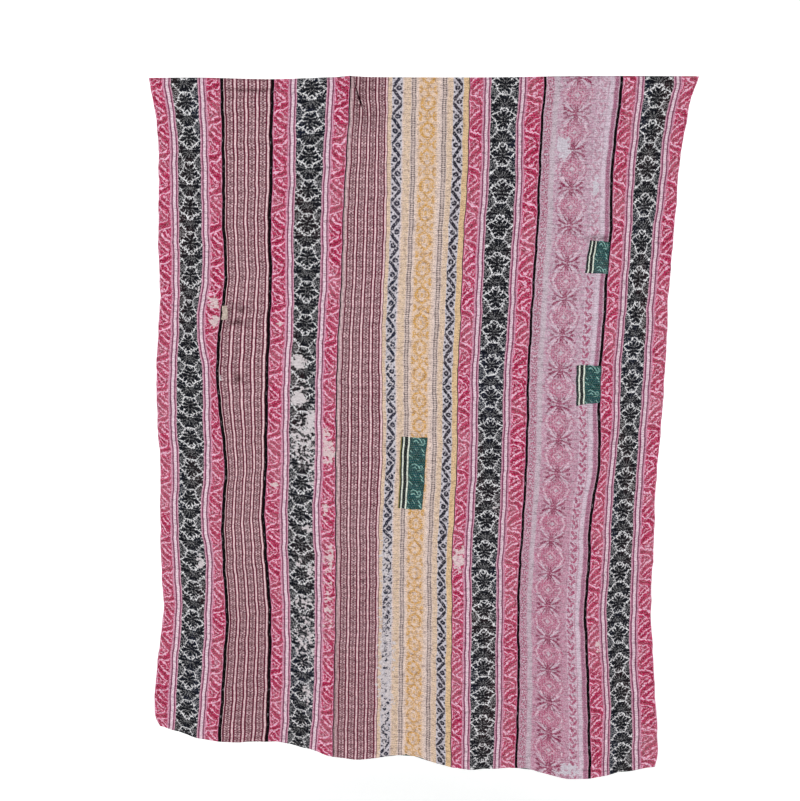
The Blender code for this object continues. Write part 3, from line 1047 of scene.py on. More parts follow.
# The flower border: bright cuts on a charcoal ground draw a barred lattice round a dark lobed flower, a
# small ring at its foot, a ribbed dark bowl below and ringed eyes at the sides. Its two halves mirror each
# other.
CHARCOAL = (18, 21, 30)
BROWN_BLACK = (48, 31, 33)
SOFT_BLACK = (12, 13, 18)
BLUE_BLACK = (24, 31, 50)
DOT_WHITE = (246, 246, 248)
FLOWER_SQUARES = (24.6, 34.3)
WHITE_CUTS = [
    # half_width, strength, places off the middle and down
    (0.46, 1.0, (0.0, -0.4), (4.4, 0.0)),
    (0.33, 0.9, (0.0, 0.0), (0.0, 3.0)),
    (0.46, 1.0, (4.4, 0.2), (5.8, 3.2), (6.8, 6.2)),
    (0.48, 1.0, (7.6, 7.8), (9.6, 10.6), (12.2, 12.2)),
    (0.40, 0.9, (4.4, 0.0), (7.4, -3.2), (9.6, -6.4), (11.8, -8.8)),
    (0.64, 1.0, (9.8, -8.0), (11.0, -6.6)),
    (0.46, 1.0, (12.4, 12.8), (9.2, 14.8), (6.4, 16.4), (4.4, 17.8), (3.4, 20.2)),
    (0.60, 1.0, (3.0, 20.2), (2.4, 21.8)),
    (0.34, 1.0, (0.0, 20.0), 1.8),
    (0.40, 1.0, (4.8, 4.4), (3.4, 5.4)),
    (0.40, 1.0, (7.2, 8.4), (5.4, 9.0)),
    (0.40, 1.0, (6.4, 15.4), (5.2, 13.6)),
    (0.40, 1.0, (3.6, 17.8), (2.6, 15.8)),
    (0.34, 0.9, (2.0, 0.4), (1.6, 2.0)),
    (0.34, 0.9, (5.6, 2.6), (7.2, 2.2)),
    (0.34, 0.9, (7.0, 5.8), (8.4, 4.8)),
    (0.34, 0.9, (9.4, 9.6), (10.4, 8.4)),
    (0.36, 0.9, (9.4, 15.2), (9.0, 17.0)),
    (0.36, 0.9, (6.6, 17.0), (7.2, 18.8)),
    (0.36, 0.9, (5.8, -1.8), (4.6, -3.0)),
    (0.36, 0.9, (7.8, -4.0), (6.4, -5.0)),
    (0.36, 0.9, (9.6, -6.6), (8.0, -7.6)),
    (0.34, 0.9, (12.3, 17.4), (10.6, 18.4)),
    (0.34, 0.9, (12.3, 21.0), (10.8, 21.4)),
    (0.34, 0.8, (12.3, 29.6), (10.8, 29.0)),
    (0.33, 0.8, (12.3, 7.4), (10.8, 6.6)),
]
GREY_CUTS = [
    (0.32, 0.50, (9.2, 1.4), 2.0),
    (0.50, 0.50, (9.2, 1.2), (9.2, 1.6)),
    (0.30, 0.40, (9.2, 1.4), 3.5),
    (0.30, 0.45, (0.5, 7.0), (3.4, 5.4)),
    (0.30, 0.45, (1.2, 9.4), (5.4, 9.0)),
    (0.30, 0.45, (1.0, 11.4), (5.2, 13.6)),
    (0.30, 0.40, (0.4, 12.2), (2.6, 15.8)),
    (0.32, 0.36, (0.0, 24.0), (0.0, 29.4)),
    (0.30, 0.34, (0.8, 25.0), (4.0, 30.0)),
    (0.30, 0.34, (1.4, 24.6), (6.0, 28.6)),
    (0.30, 0.34, (1.8, 23.6), (7.8, 26.4)),
    (0.30, 0.36, (3.4, 22.4), (8.2, 21.2)),
]
DARK_LOBES = [
    (1.20, 1.0, (0.0, 9.0), (1.6, 3.9)),
    (1.30, 1.0, (1.2, 8.4), (4.6, 7.2)),
    (1.30, 1.0, (1.2, 10.4), (5.6, 11.2)),
    (1.20, 1.0, (0.8, 11.4), (3.6, 14.8)),
    (1.20, 1.0, (0.0, 11.0), (0.4, 16.4)),
    (1.20, 1.0, (1.4, 26.0), (2.2, 30.6)),
    (1.20, 1.0, (1.4, 25.6), (5.2, 29.2)),
    (1.20, 1.0, (1.6, 24.6), (7.2, 27.4)),
    (1.30, 1.0, (2.0, 24.0), (8.4, 23.8)),
]
dark_flowers, output, place = new_print("dark_flowers")
across, repeats = place
bent_across = lumps(place, 4.0, 6.0, 19.0, 1.0) - 0.5
bent_down = lumps(place, 4.0, 6.0, 49.0, 1.0) - 0.5
ragged_across = lumps(place, 16.0, 22.0, 59.0, 1.0) - 0.5
ragged_down = lumps(place, 16.0, 22.0, 69.0, 1.0) - 0.5
off_middle = (across - 0.5) * FLOWER_SQUARES[0] + bent_across * 1.8
off_middle = abs(off_middle) + ragged_across * 3.6
square_down = repeats.part() * FLOWER_SQUARES[1] + bent_down * 2.0 + ragged_down * 3.6
speckle = lumps(place, 19.0, 24.0, 9.0, 1.0)
mottle = lumps(place, 17.0, 23.0, 12.0, 1.0)
lobes = carved(DARK_LOBES, off_middle, square_down, FLOWER_SQUARES[1])
white = carved(WHITE_CUTS, off_middle, square_down, FLOWER_SQUARES[1], 0.28) * speckle.step(0.32, 0.44)
white = white * (lobes * -0.60 + 1.0)
grey = carved(GREY_CUTS, off_middle, square_down, FLOWER_SQUARES[1]) * speckle.step(0.44, 0.54)
grain = mottle.step(0.58, 0.68) * (lobes * -0.12 + 0.22)
brown = lumps(read_map(dark_flowers, "cloth"), 11.0, 3.0, 27.0, 1.0)
fill(output, painted(
    CHARCOAL,
    (brown.step(0.52, 0.66) * 0.7, BROWN_BLACK),
    (brown.step(0.46, 0.34) * 0.6, BLUE_BLACK),
    (lobes * 0.7, SOFT_BLACK),
    (white.either(grey).either(grain), DOT_WHITE),
))

# A thin black line between two bands, broken in a few places where the block missed.
PRINT_BLACK = (16, 8, 10)
ROSE_GREY = (216, 204, 214)
black_line, output, place = new_print("black_line")
broken = lumps(place, 1.5, 7.0, 7.0)
fill(output, blend(broken.step(0.42, 0.28) * 0.24, PRINT_BLACK, ROSE_GREY))

# A thin dark line with a cream one beside it.
MAROON = (104, 24, 52)
CREAM = (242, 208, 212)
pale_line, output, place = new_print("pale_line")
across, repeats = place
fill(output, painted(
    PRINT_BLACK,
    (across.step(0.28, 0.40), CREAM),
    (across.between(0.46, 0.62, 0.05) * 0.8, (96, 90, 88)),
    (across.step(0.84, 0.94), MAROON),
    (repeats.step(11.0, 18.0) * 0.28, MAROON),
))

# The chain panel: four strips with a row of pale dots down each side and a chain of small dark knots between
# them, on mauve, with maroon and cream lines between the strips.
CHAIN_MAUVE = (126, 74, 88)
KNOT_BROWN = (86, 28, 46)
CHAIN_WHITE = (246, 212, 214)
CHAIN_LENGTH = 5.2
STRIP_SHARE = 0.2425
CHAIN_DOTS = [
    (0.56, 1.0, (1.7, 0.6), (1.7, 1.0)),
    (0.56, 1.0, (1.8, 3.3), (1.8, 3.7)),
    (0.36, 0.7, (0.0, 2.2), (0.6, 2.2)),
    (0.36, 0.6, (0.9, 4.7), (0.9, 4.8)),
]
CHAIN_KNOTS = [
    (0.55, 1.0, (0.0, 0.5), (0.0, 1.1)),
    (0.45, 0.9, (0.8, 2.6), (0.0, 3.6)),
    (0.35, 0.7, (2.5, 2.2), (2.5, 2.4)),
    (0.35, 0.7, (2.5, 4.9), (2.5, 5.1)),
]
chain_panel, output, place = new_print("chain_panel")
across, repeats = place
strip = (across / STRIP_SHARE + 0.09).part()
off_strip = abs(strip - 0.56) * 10.0
chain_shift = (lumps(place, 4.0, 4.0, 3.0) - 0.5) * 3.0
square_down = (repeats * 6.6 + chain_shift * 0.2).part() * CHAIN_LENGTH
patchy = lumps(place, 30.0, 26.0, 5.0, 1.0)
dots = carved(CHAIN_DOTS, off_strip, square_down, CHAIN_LENGTH, 0.34) * patchy.step(0.28, 0.48)
knots = carved(CHAIN_KNOTS, off_strip, square_down, CHAIN_LENGTH, 0.34) * patchy.step(0.66, 0.46)
ground_light = lumps(place, 24.0, 20.0, 15.0, 1.0).step(0.40, 0.64)
block = (repeats * 4.1 + chain_shift * 0.12).swing(0.5)
cream_line = strip.step(0.160, 0.135).either(strip.step(0.962, 0.980))
fill(output, painted(
    CHAIN_MAUVE,
    (ground_light * 0.44, CHAIN_WHITE),
    (dots, CHAIN_WHITE),
    (knots * 0.85, KNOT_BROWN),
    (block.step(0.20, 0.38) * 0.30, KNOT_BROWN),
    (block.step(0.18, 0.06) * dots * 0.50, STRIPE_WHITE),
    (off_strip.step(2.55, 2.85), MAROON),
    (cream_line, CREAM),
    (repeats.step(13.0, 19.0) * 0.10, MAROON),
))

# The yellow panel: a chain of ochre ovals and flowers down a cream ground, a dotted ladder and a tan stripe
# at each side of it, and a winding black vine with round buds along each edge.
PANEL_CREAM = (232, 212, 204)
OCHRE = (218, 168, 92)
TAN = (228, 202, 174)
OVAL_LENGTH = 28.0
VINE_SQUARES = (8.6, 29.0)
RUNGS = 14.0
OCHRE_CUTS = [
    # half_width, strength, places off the middle and down
    (1.60, 1.0, (0.0, -8.0), (5.0, -5.0), (6.4, 0.0), (5.0, 5.0), (0.0, 8.0)),
    (1.30, 0.9, (0.0, -1.6), (0.0, 1.6)),
    (0.70, 0.8, (2.6, -3.2), (3.8, 0.0), (2.6, 3.4)),
    (1.20, 0.9, (0.6, 10.0), (3.2, 14.0), (0.6, 18.0)),
    (1.50, 1.0, (7.2, 11.0), (5.8, 14.0), (7.2, 17.0)),
    (0.80, 0.9, (0.0, 12.4), (0.0, 15.6)),
]
OCHRE_RINGS = [
    (0.50, 1.0, (0.0, 4.6), 1.5),
    (0.50, 1.0, (0.0, -4.4), 1.5),
    (0.50, 0.8, (1.6, 10.6), (4.4, 12.6)),
    (0.50, 0.8, (1.6, 17.4), (4.4, 15.4)),
]
VINE_CUTS = [
    (1.60, 1.0, (1.0, 0.4), (7.0, 9.0)),
    (1.60, 1.0, (7.0, 15.0), (1.2, 24.0)),
    (0.50, 0.9, (7.4, 9.2), (8.2, 12.0), (7.4, 15.0)),
    (0.50, 0.9, (0.8, 24.2), (0.2, 26.8), (0.8, 29.2)),
    (1.15, 1.0, (3.1, 12.4), 1.6),
    (1.15, 1.0, (5.5, 27.0), 1.6),
    (0.90, 1.0, (0.4, 7.6), (0.4, 8.0)),
    (0.90, 1.0, (0.4, 17.0), (0.4, 17.2)),
    (0.90, 1.0, (8.2, 22.6), (8.2, 23.0)),
    (0.90, 1.0, (8.2, 2.2), (8.2, 2.4)),
    (0.40, 0.7, (3.0, 8.6), (3.4, 10.0)),
    (0.40, 0.7, (5.6, 23.2), (5.2, 24.6)),
]
yellow_panel, output, place = new_print("yellow_panel")
across, repeats = place
tan = across.step(0.05, 0.04).either(across.between(0.195, 0.280, 0.012))
tan = tan.either(across.between(0.735, 0.815, 0.012)).either(across.between(0.925, 0.995, 0.010))
tan_wash = lumps(place, 24.0, 12.0, 53.0, 1.0)
ladder_rung = (repeats * RUNGS).swing(0.5).step(0.20, 0.36)
ladder_gap = abs(abs(across - 0.508) - 0.190)
rail_ink = lumps(place, 9.0, 14.0, 13.0, 1.0).step(0.30, 0.50)
rails = ladder_gap.between(0.0120, 0.0270, 0.004) * (rail_ink * 0.6 + 0.4)
ladder = (rails * (ladder_rung * 0.5 + 0.5)).either(ladder_gap.step(0.022, 0.016) * ladder_rung * 0.55)
ladder_ink = lumps(place, 3.0, 0.8, 33.0, 1.0).step(0.28, 0.52)
bent = lumps(place, 8.0, 5.0, 43.0, 1.0) - 0.5
off_chain = abs(across - 0.495) * 78.0 + bent * 1.6
square_down = repeats.part() * OVAL_LENGTH + bent * 1.8
worn_ink = lumps(place, 40.0, 15.0, 4.0, 1.0)
ochre = carved(OCHRE_CUTS, off_chain, square_down, OVAL_LENGTH, 0.5)
dotted = (repeats * RUNGS).swing(0.5).step(0.10, 0.24)
ochre = ochre.either((off_chain - 8.4).stroke(0.5, 0.4) * dotted * 0.55)
ochre_strength = lumps(place, 2.0, 0.6, 37.0, 1.0).step(0.15, 0.55) * 0.35 + 0.65
haze = off_chain.step(9.4, 8.4) * 0.22
ochre = (ochre * worn_ink.step(0.30, 0.52)).either(haze) * ochre_strength
colour = painted(
    PANEL_CREAM,
    (across.between(0.36, 0.64, 0.03), (238, 214, 196)),
    (tan * (tan_wash.step(0.30, 0.60) * 0.4 + 0.6), TAN),
    (across.step(0.90, 0.93) * 0.7, (230, 194, 140)),
    (ladder * (ladder_ink * 0.26 + 0.74), (30, 22, 28)),
    (ochre, OCHRE),
    (carved(OCHRE_RINGS, off_chain, square_down, OVAL_LENGTH, 0.5) * 0.75, PANEL_CREAM),
)
for vine_start, vine_width, ink, ground, shift in (
    (0.056, 0.114, (36, 40, 58), (212, 208, 216), 0.45),
    (0.812, 0.112, (28, 30, 44), (210, 206, 214), 0.98),
):
    vine_across = (across - vine_start) / vine_width * VINE_SQUARES[0]
    colour = blend((vine_across - VINE_SQUARES[0] / 2).stroke(4.9, 0.4), colour, ground)
    vine_down = (repeats * 0.955 + shift).part() * VINE_SQUARES[1] + bent * 1.6
    vine = carved(VINE_CUTS, vine_across + bent * 2.4, vine_down, VINE_SQUARES[1], 0.36)
    colour = blend(vine * worn_ink.step(0.26, 0.46), colour, ink)
fill(output, colour)

# The rose panel: rounded lozenges and crossed stars down a pale ground, with a small border at the left and
# a vine of leaves at the right, all faint and much washed.
LILAC_GREY = (204, 190, 200)
ROSE = (192, 92, 128)
DEEP_ROSE = (178, 56, 102)
DARK_ROSE = (140, 32, 78)
ROSE_GROUND = (196, 154, 176)
LILAC_WHITE = (222, 206, 220)
BUD_ROSE = (168, 50, 98)
PANEL_MAUVE = (168, 106, 134)
STAR_SQUARES = (42.0, 37.0)
BUD_LENGTH = 12.3
STAR_CUTS = [
    # half_width, strength, places off the middle and down
    (0.95, 1.0, (2.6, 1.4), (6.6, 2.0), (11.4, 4.2)),
    (1.25, 1.0, (9.4, 3.0), (13.6, 5.6)),
    (1.00, 1.0, (10.4, 0.6), (14.6, 0.2)),
    (0.90, 1.0, (2.0, 3.0), (4.6, 5.6), (6.8, 8.0)),
    (0.80, 0.9, (1.0, 3.8), (1.5, 7.4)),
    (0.70, 0.7, (13.8, 7.8), (16.6, 8.8)),
    (0.60, 0.8, (5.0, 0.6), (8.4, 0.2)),
    (1.10, 0.9, (0.0, 1.2), (1.6, 2.4)),
]
STAR_LIGHTS = [
    (0.80, 1.0, (4.0, 2.8), (10.0, 6.8), (14.6, 10.4)),
    (0.60, 0.8, (5.0, 0.4), (10.0, 0.8)),
    (0.50, 0.8, (3.4, 5.6), (6.4, 9.8)),
]
BUD_CUTS = [
    (1.30, 1.0, (1.6, 1.0), (2.6, 2.6), (3.6, 4.4)),
    (1.30, 1.0, (6.8, 6.0), (5.8, 8.0), (4.4, 9.6)),
    (0.70, 0.9, (5.4, 1.6), (7.2, 3.4)),
    (0.60, 0.9, (1.4, 7.4), (2.6, 10.6)),
    (0.50, 0.8, (4.0, 6.0), (4.4, 7.0)),
]
rose_panel, output, place = new_print("rose_panel")
across, repeats = place
washed = lumps(place, 26.0, 13.0, 8.0, 2.0)
thread_wash = lumps(place, 20.0, 40.0, 38.0, 1.0)
small_leaf = lumps(place, 38.0, 13.0, 48.0, 1.0).step(0.42, 0.54)
left_dots = lumps(place, 60.0, 22.0, 68.0, 1.0)
left_column = across.between(0.02, 0.110, 0.012)
chain_x = (across - 0.44) * 2.05
star_down = repeats.swing(0.5)
lozenge_down = star_down.inverse() - 0.5
lozenge = ((chain_x * chain_x) * 1.15 + (lozenge_down * lozenge_down) * 1.0).root()
lozenge = lozenge * 0.60 + (abs(chain_x) + lozenge_down * 0.9) * 0.40 + (washed - 0.5) * 0.10
body = lozenge.step(0.42, 0.30)
hatch = (chain_x * 13.0 + (thread_wash - 0.5) * 3.0).swing(0.5).step(0.18, 0.34)
hatch = hatch * thread_wash.step(0.34, 0.54)
strength = chain_x.step(0.42, -0.42) * 0.30 + 0.70
diamond = abs(chain_x) + lozenge_down * 1.1
rim = lozenge.between(0.38, 0.42, 0.025) * washed.step(0.40, 0.54)
star_x = abs(chain_x)
square_across = star_x * STAR_SQUARES[0] + (washed - 0.5) * 4.0
square_down = star_down * STAR_SQUARES[1] + (thread_wash - 0.5) * 3.2
rays = carved(STAR_CUTS, square_across, square_down, STAR_SQUARES[1], 0.36)
star_ink = lumps(place, 4.5, 2.0, 58.0, 1.0).step(0.36, 0.60)
cross = carved(STAR_LIGHTS, square_across, square_down, STAR_SQUARES[1], 0.40)
blob = ((star_x * star_x) * 1.3 + (star_down - 0.11) * (star_down - 0.11)).root().step(0.085, 0.035)
border_place = (across - 0.785) / 0.062
border = border_place.stroke(1.0, 0.10)
border_across = border_place * 4.2 + 4.2 + (washed - 0.5) * 4.0
border_down = (repeats * 3.0).part() * BUD_LENGTH + (thread_wash - 0.5) * 4.6
buds = carved(BUD_CUTS, border_across, border_down, BUD_LENGTH, 0.45)
bud_ink = repeats.step(1.0, 6.0) * 0.45 + 0.45
flecks = lumps(place, 70.0, 34.0, 78.0, 1.0)
fill(output, painted(
    ROSE_GROUND,
    (washed.step(0.40, 0.62) * 0.7, ROSE_GREY),
    (thread_wash.step(0.52, 0.68) * 0.30, ROSE),
    (repeats.step(6.0, 12.0) * 0.32, ROSE),
    (across.between(0.120, 0.190, 0.012) * 0.85, LILAC_GREY),
    (across.between(0.865, 0.925, 0.012) * 0.85, LILAC_WHITE),
    (left_column * 0.75, LILAC_GREY),
    (left_column * small_leaf * 0.75, ROSE),
    (left_column * left_dots.step(0.50, 0.60) * 0.85, DARK_ROSE),
    (left_column * left_dots.step(0.44, 0.36) * 0.80, LILAC_WHITE),
    (body * strength * (hatch * 0.92 + 0.20), DEEP_ROSE),
    (diamond.between(0.15, 0.20, 0.03) * thread_wash.step(0.34, 0.52) * 0.6, STRIPE_WHITE),
    (diamond.step(0.10, 0.05) * 0.8, ROSE_GREY),
    (rim * 0.90, STRIPE_WHITE),
    (lozenge.between(0.45, 0.49, 0.025) * thread_wash.step(0.42, 0.54) * 0.8, DEEP_ROSE),
    (rays * thread_wash.step(0.28, 0.42) * (star_ink * 0.35 + 0.65), DARK_ROSE),
    (cross * washed.step(0.32, 0.46) * 0.90, LILAC_WHITE),
    (blob * thread_wash.step(0.34, 0.52) * 0.8, DARK_ROSE),
    (border * (washed.step(0.36, 0.52) * 0.5 + 0.3), LILAC_WHITE),
    (border * buds * thread_wash.step(0.24, 0.38) * bud_ink, BUD_ROSE),
    (across.between(0.935, 0.985, 0.010), PANEL_MAUVE),
    (flecks.step(0.54, 0.64) * 0.44, LILAC_WHITE),
    (flecks.step(0.46, 0.36) * 0.26, DARK_ROSE),
))

# The back and the turned-in edge: the same green sari as the patches are cut from, with a pair of pale lines
# down each side and a small sprig here and there.
SPRIG_SQUARES = 20.0
SPRIG_CUTS = [
    # half_width, strength, places across and down
    (0.55, 1.0, (10.0, 6.0), (10.0, 13.0)),
    (0.70, 1.0, (9.4, 9.0), (6.8, 7.0)),
    (0.70, 1.0, (10.6, 9.0), (13.2, 7.0)),
    (0.60, 0.9, (9.6, 12.0), (7.6, 11.0)),
    (0.60, 0.9, (10.4, 12.0), (12.4, 11.0)),
    (0.90, 1.0, (10.0, 4.4), (10.0, 5.0)),
]
SPRIG_CELL = 0.075
EDGE_LINES = (0.630, 0.644)
EDGE_STROKE = (0.0022, 0.0004)
backing, output, _ = new_print("backing")
cloth = read_map(backing, "cloth")
cloth_x, cloth_down = cloth
streaks = lumps(cloth, 20.0, 9.0, 31.0, 3.0)
sprig_down = cloth_down / SPRIG_CELL
sprig_row = sprig_down - sprig_down.part()
sprig_across = (cloth_x / SPRIG_CELL + sprig_row * 0.5).part() * SPRIG_SQUARES
sprigs = carved(SPRIG_CUTS, sprig_across, sprig_down.part() * SPRIG_SQUARES, SPRIG_SQUARES, 0.40)
colour = painted(
    (20, 62, 58),
    (streaks.step(0.30, 0.70), (30, 80, 80)),
    (sprigs * 0.85, (150, 196, 182)),
)
off_lines = [(abs(cloth_x) - line).stroke(*EDGE_STROKE) for line in EDGE_LINES]
edge_line = off_lines[0].either(off_lines[1])
fill(output, blend(edge_line, colour, (214, 228, 208)))

LEAF_SEWING = {"Grain": 0.8, "Worn": (224, 200, 202)}
BACKING_SEWING = {"Thread": (176, 178, 168), "Wear": 0.0}
ROSE_SEWING = {"Grain": 0.8, "Worn": (210, 202, 212)}
QUILT_COTTONS = {
    "leaf_border": cotton("leaf_border_cotton", leaf_border, 0.18, 0.20, LEAF_SEWING),
    "stripes": cotton("striped_cotton", stripes, 0.04, 0.10, {"Wear": 0.1}),
    "dark_flowers": cotton("dark_flower_cotton", dark_flowers, 0.0, 0.03, {"Grain": 0.7}),
    "black_line": cotton("black_line_cotton", black_line, 0.0, 0.02, {"Wear": 0.1}),
    "pale_line": cotton("pale_line_cotton", pale_line, 0.04, 0.06, {"Wear": 0.1}),
    "chain_panel": cotton("chain_panel_cotton", chain_panel, 0.05, 0.10, {"Grain": 0.9}),
    "yellow_panel": cotton("yellow_panel_cotton", yellow_panel, 0.06, 0.12),
    "rose_panel": cotton("rose_panel_cotton", rose_panel, 0.05, 0.12, ROSE_SEWING),
    "backing": cotton("backing_cotton", backing, 0.04, 0.85, BACKING_SEWING),
}
slots = list(QUILT_COTTONS)
for material in QUILT_COTTONS.values():
    quilt.data.materials.append(material)
face_slots = np.full(len(quilt.data.polygons), slots.index("backing"), dtype=np.int32)
band_slots = np.array([slots.index(row[3]) for row in PRINTED_BANDS], dtype=np.int32)
front_count = (row_count - 1) * (len(columns) - 1)
face_slots[:front_count] = np.tile(band_slots[quad_band], row_count - 1)
quilt.data.polygons.foreach_set("material_index", face_slots)
quilt.data.update()

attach(quilt, "root")
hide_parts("quilt")


# The patches: scraps of old sari laid over the worst holes, turned under all round and sewn down with short
# stitches. Each is a thin closed sheet that lies on the folds of the quilt's face.
PATCH_GAP = 0.0005
PATCH_THICKNESS = 0.0012
PATCH_POINT_SPACING = 0.0020
STITCH_SIZE = (0.0028, 0.00044, 0.00044)
STITCH_PITCH = 0.0060
STITCH_INSET = 0.0030
STITCH_LIFT = 0.00006
STITCH_SLANT = 0.22
STITCH_ENDS = (0.3, 0.7)
SIDE_SAG = 0.0008
END_SAG = 0.0007
FOLD_INSET = 0.0035
FOLD_WIDTH = 0.0022
FOLD_PUFF = 0.0005
RIPPLE = 0.00016
RIPPLE_PITCHES = (0.021, 0.017)
RIPPLE_START = 0.006
PATCH_RIM = 0.0003
PATCH_EDGE_ROUND = 0.0010
PATCH_REPEAT = 0.09
OWN_PLACE = 2.0
GREEN_REPEATS = 1.27
PATCHES = {
    # name: flat width and length, then the corners as (x, drop), clockwise from the upper left
    "green_patch_upper": ((0.059, 0.088), (0.454, 0.447), (0.508, 0.452), (0.503, 0.540), (0.440, 0.536)),
    "green_patch_lower": ((0.067, 0.106), (0.416, 0.789), (0.485, 0.791), (0.481, 0.891), (0.416, 0.900)),
    "green_patch_large": ((0.070, 0.199), (-0.064, 0.986), (0.009, 0.988), (-0.005, 1.186), (-0.071, 1.182)),
    "cream_patch": ((0.0155, 0.038), (-0.5525, 0.626), (-0.539, 0.627), (-0.537, 0.664), (-0.554, 0.665)),
}

GREEN_SQUARES = (26.3, 26.0)
GREEN_CUTS = [
    # half_width, strength, places across and down
    (0.42, 1.0, (12.5, 1.2), (15.5, 0.2), (18.5, 1.6), (20.6, 4.6)),
    (0.38, 0.9, (13.0, 4.4), (16.0, 3.2), (17.6, 5.2)),
    (0.38, 0.9, (21.8, 4.0), 1.7),
    (0.42, 0.9, (19.0, 7.4), (22.4, 7.8), (24.6, 5.6)),
    (0.42, 0.9, (10.0, 18.4), (13.6, 21.2)),
    (0.50, 1.0, (22.4, 15.8), (25.2, 18.2)),
    (0.48, 0.9, (21.4, 11.6), (24.2, 14.8)),
    (0.42, 0.8, (9.6, 12.0), (12.0, 14.8)),
    (0.32, 0.7, (15.0, 11.0), (17.4, 13.4)),
    (0.32, 0.6, (16.4, 20.4), (19.0, 22.6)),
]
green_patch, output, (across, repeats), olive = new_print("green_patch", "Olive")
repeats = repeats * GREEN_REPEATS
place = (across, repeats)
bend = lumps(place, 3.0, 5.0, 61.0, 1.0) - 0.5
square_across = across * GREEN_SQUARES[0] + bend * 3.0
square_down = repeats.part() * GREEN_SQUARES[1] + bend * 4.0
leaf_mark = carved(GREEN_CUTS, square_across, square_down, GREEN_SQUARES[1], 0.34)
leaf_mark = leaf_mark * lumps(place, 8.0, 7.0, 63.0, 1.0).step(0.30, 0.44)
mesh_dots = ((across * 26.0 + repeats * 26.0) * 0.55).swing(0.5).step(0.24, 0.42)
fine_marks = mesh_dots * lumps(place, 20.0, 24.0, 67.0, 1.0).step(0.42, 0.54) * across.step(0.32, 0.36)
shade = lumps(place, 4.0, 6.0, 41.0)
lines = across.between(0.095, 0.150, 0.008).either(across.between(0.280, 0.338, 0.008))
fill(output, painted(
    (8, 52, 48),
    (shade.step(0.34, 0.64), (8, 66, 74)),
    (fine_marks * 0.70, (90, 152, 142)),
    (leaf_mark, (156, 206, 196)),
    (across.between(0.02, 0.34, 0.02), (10, 32, 30)),
    (lines, (236, 246, 230)),
    (across.step(0.05, 0.02) * olive, (150, 140, 70)),
))

cream_patch, output, place = new_print("cream_patch")
shade = lumps(place, 3.0, 6.0, 43.0)
fill(output, blend(shade.step(0.30, 0.70), (198, 180, 168), (220, 206, 192)))

PATCH_COTTONS = {
    "green_patch_upper": cotton("upper_patch_cotton", green_patch, 0.04),
    "green_patch_lower": cotton("lower_patch_cotton", green_patch, 0.04),
    "green_patch_large": cotton("large_patch_cotton", green_patch, 0.04, Olive=1.0),
    "cream_patch": cotton("cream_patch_cotton", cream_patch, 0.04),
}


def thread(name, colour):
    """Matt cotton sewing thread."""
    return new_surface(name, {"Base Color": colour_of(*colour), "Roughness": 0.8, "Specular IOR Level": 0.1})


green_thread = thread("green_sewing_thread", (70, 116, 104))
PATCH_THREADS = {
    "green_patch_upper": thread("maroon_sewing_thread", (96, 40, 52)),
    "green_patch_lower": green_thread,
    "green_patch_large": green_thread,
    "cream_patch": thread("cream_sewing_thread", (186, 166, 152)),
}


def along_at(x, drop):
    """The share of the cloth's length at which a point hangs."""
    left_edge, right_edge = side_places(drop)
    across = np.clip((x - left_edge) / (right_edge - left_edge), 0.0, 1.0)
    rise, hem = end_places(across)
    return (drop + rise) / (hem + rise)


def sag_of(turn, finer_turn):
    """A slight sag along a patch's edge: a wave, and a finer one of half its height."""
    return np.sin(turn) + 0.5 * np.sin(finer_turn)


def place_on(grid, over, down):
    """The point of a grid of points at a share of its width and a share of its length."""
    row, column = down * (grid.shape[0] - 1), over * (grid.shape[1] - 1)
    above, before = min(int(row), grid.shape[0] - 2), min(int(column), grid.shape[1] - 2)
    rows = grid[above:above + 2]
    upper, below = rows[:, before] + (rows[:, before + 1] - rows[:, before]) * (column - before)
    return upper + (below - upper) * (row - above)


# One stitch of thick sewing thread; every other one is a copy of its mesh.
deselect_all()
bpy.ops.mesh.primitive_uv_sphere_add(segments=6, ring_count=4, radius=0.5, location=(0.0, 0.0, 0.0))
one_stitch = bpy.context.object
one_stitch.name = "one_stitch"
one_stitch.rotation_euler = (0.0, np.pi / 2, 0.0)
bpy.ops.object.transform_apply(location=False, rotation=True, scale=False)
one_stitch.scale = STITCH_SIZE
bpy.ops.object.transform_apply(location=False, rotation=False, scale=True)
bpy.ops.object.shade_smooth()

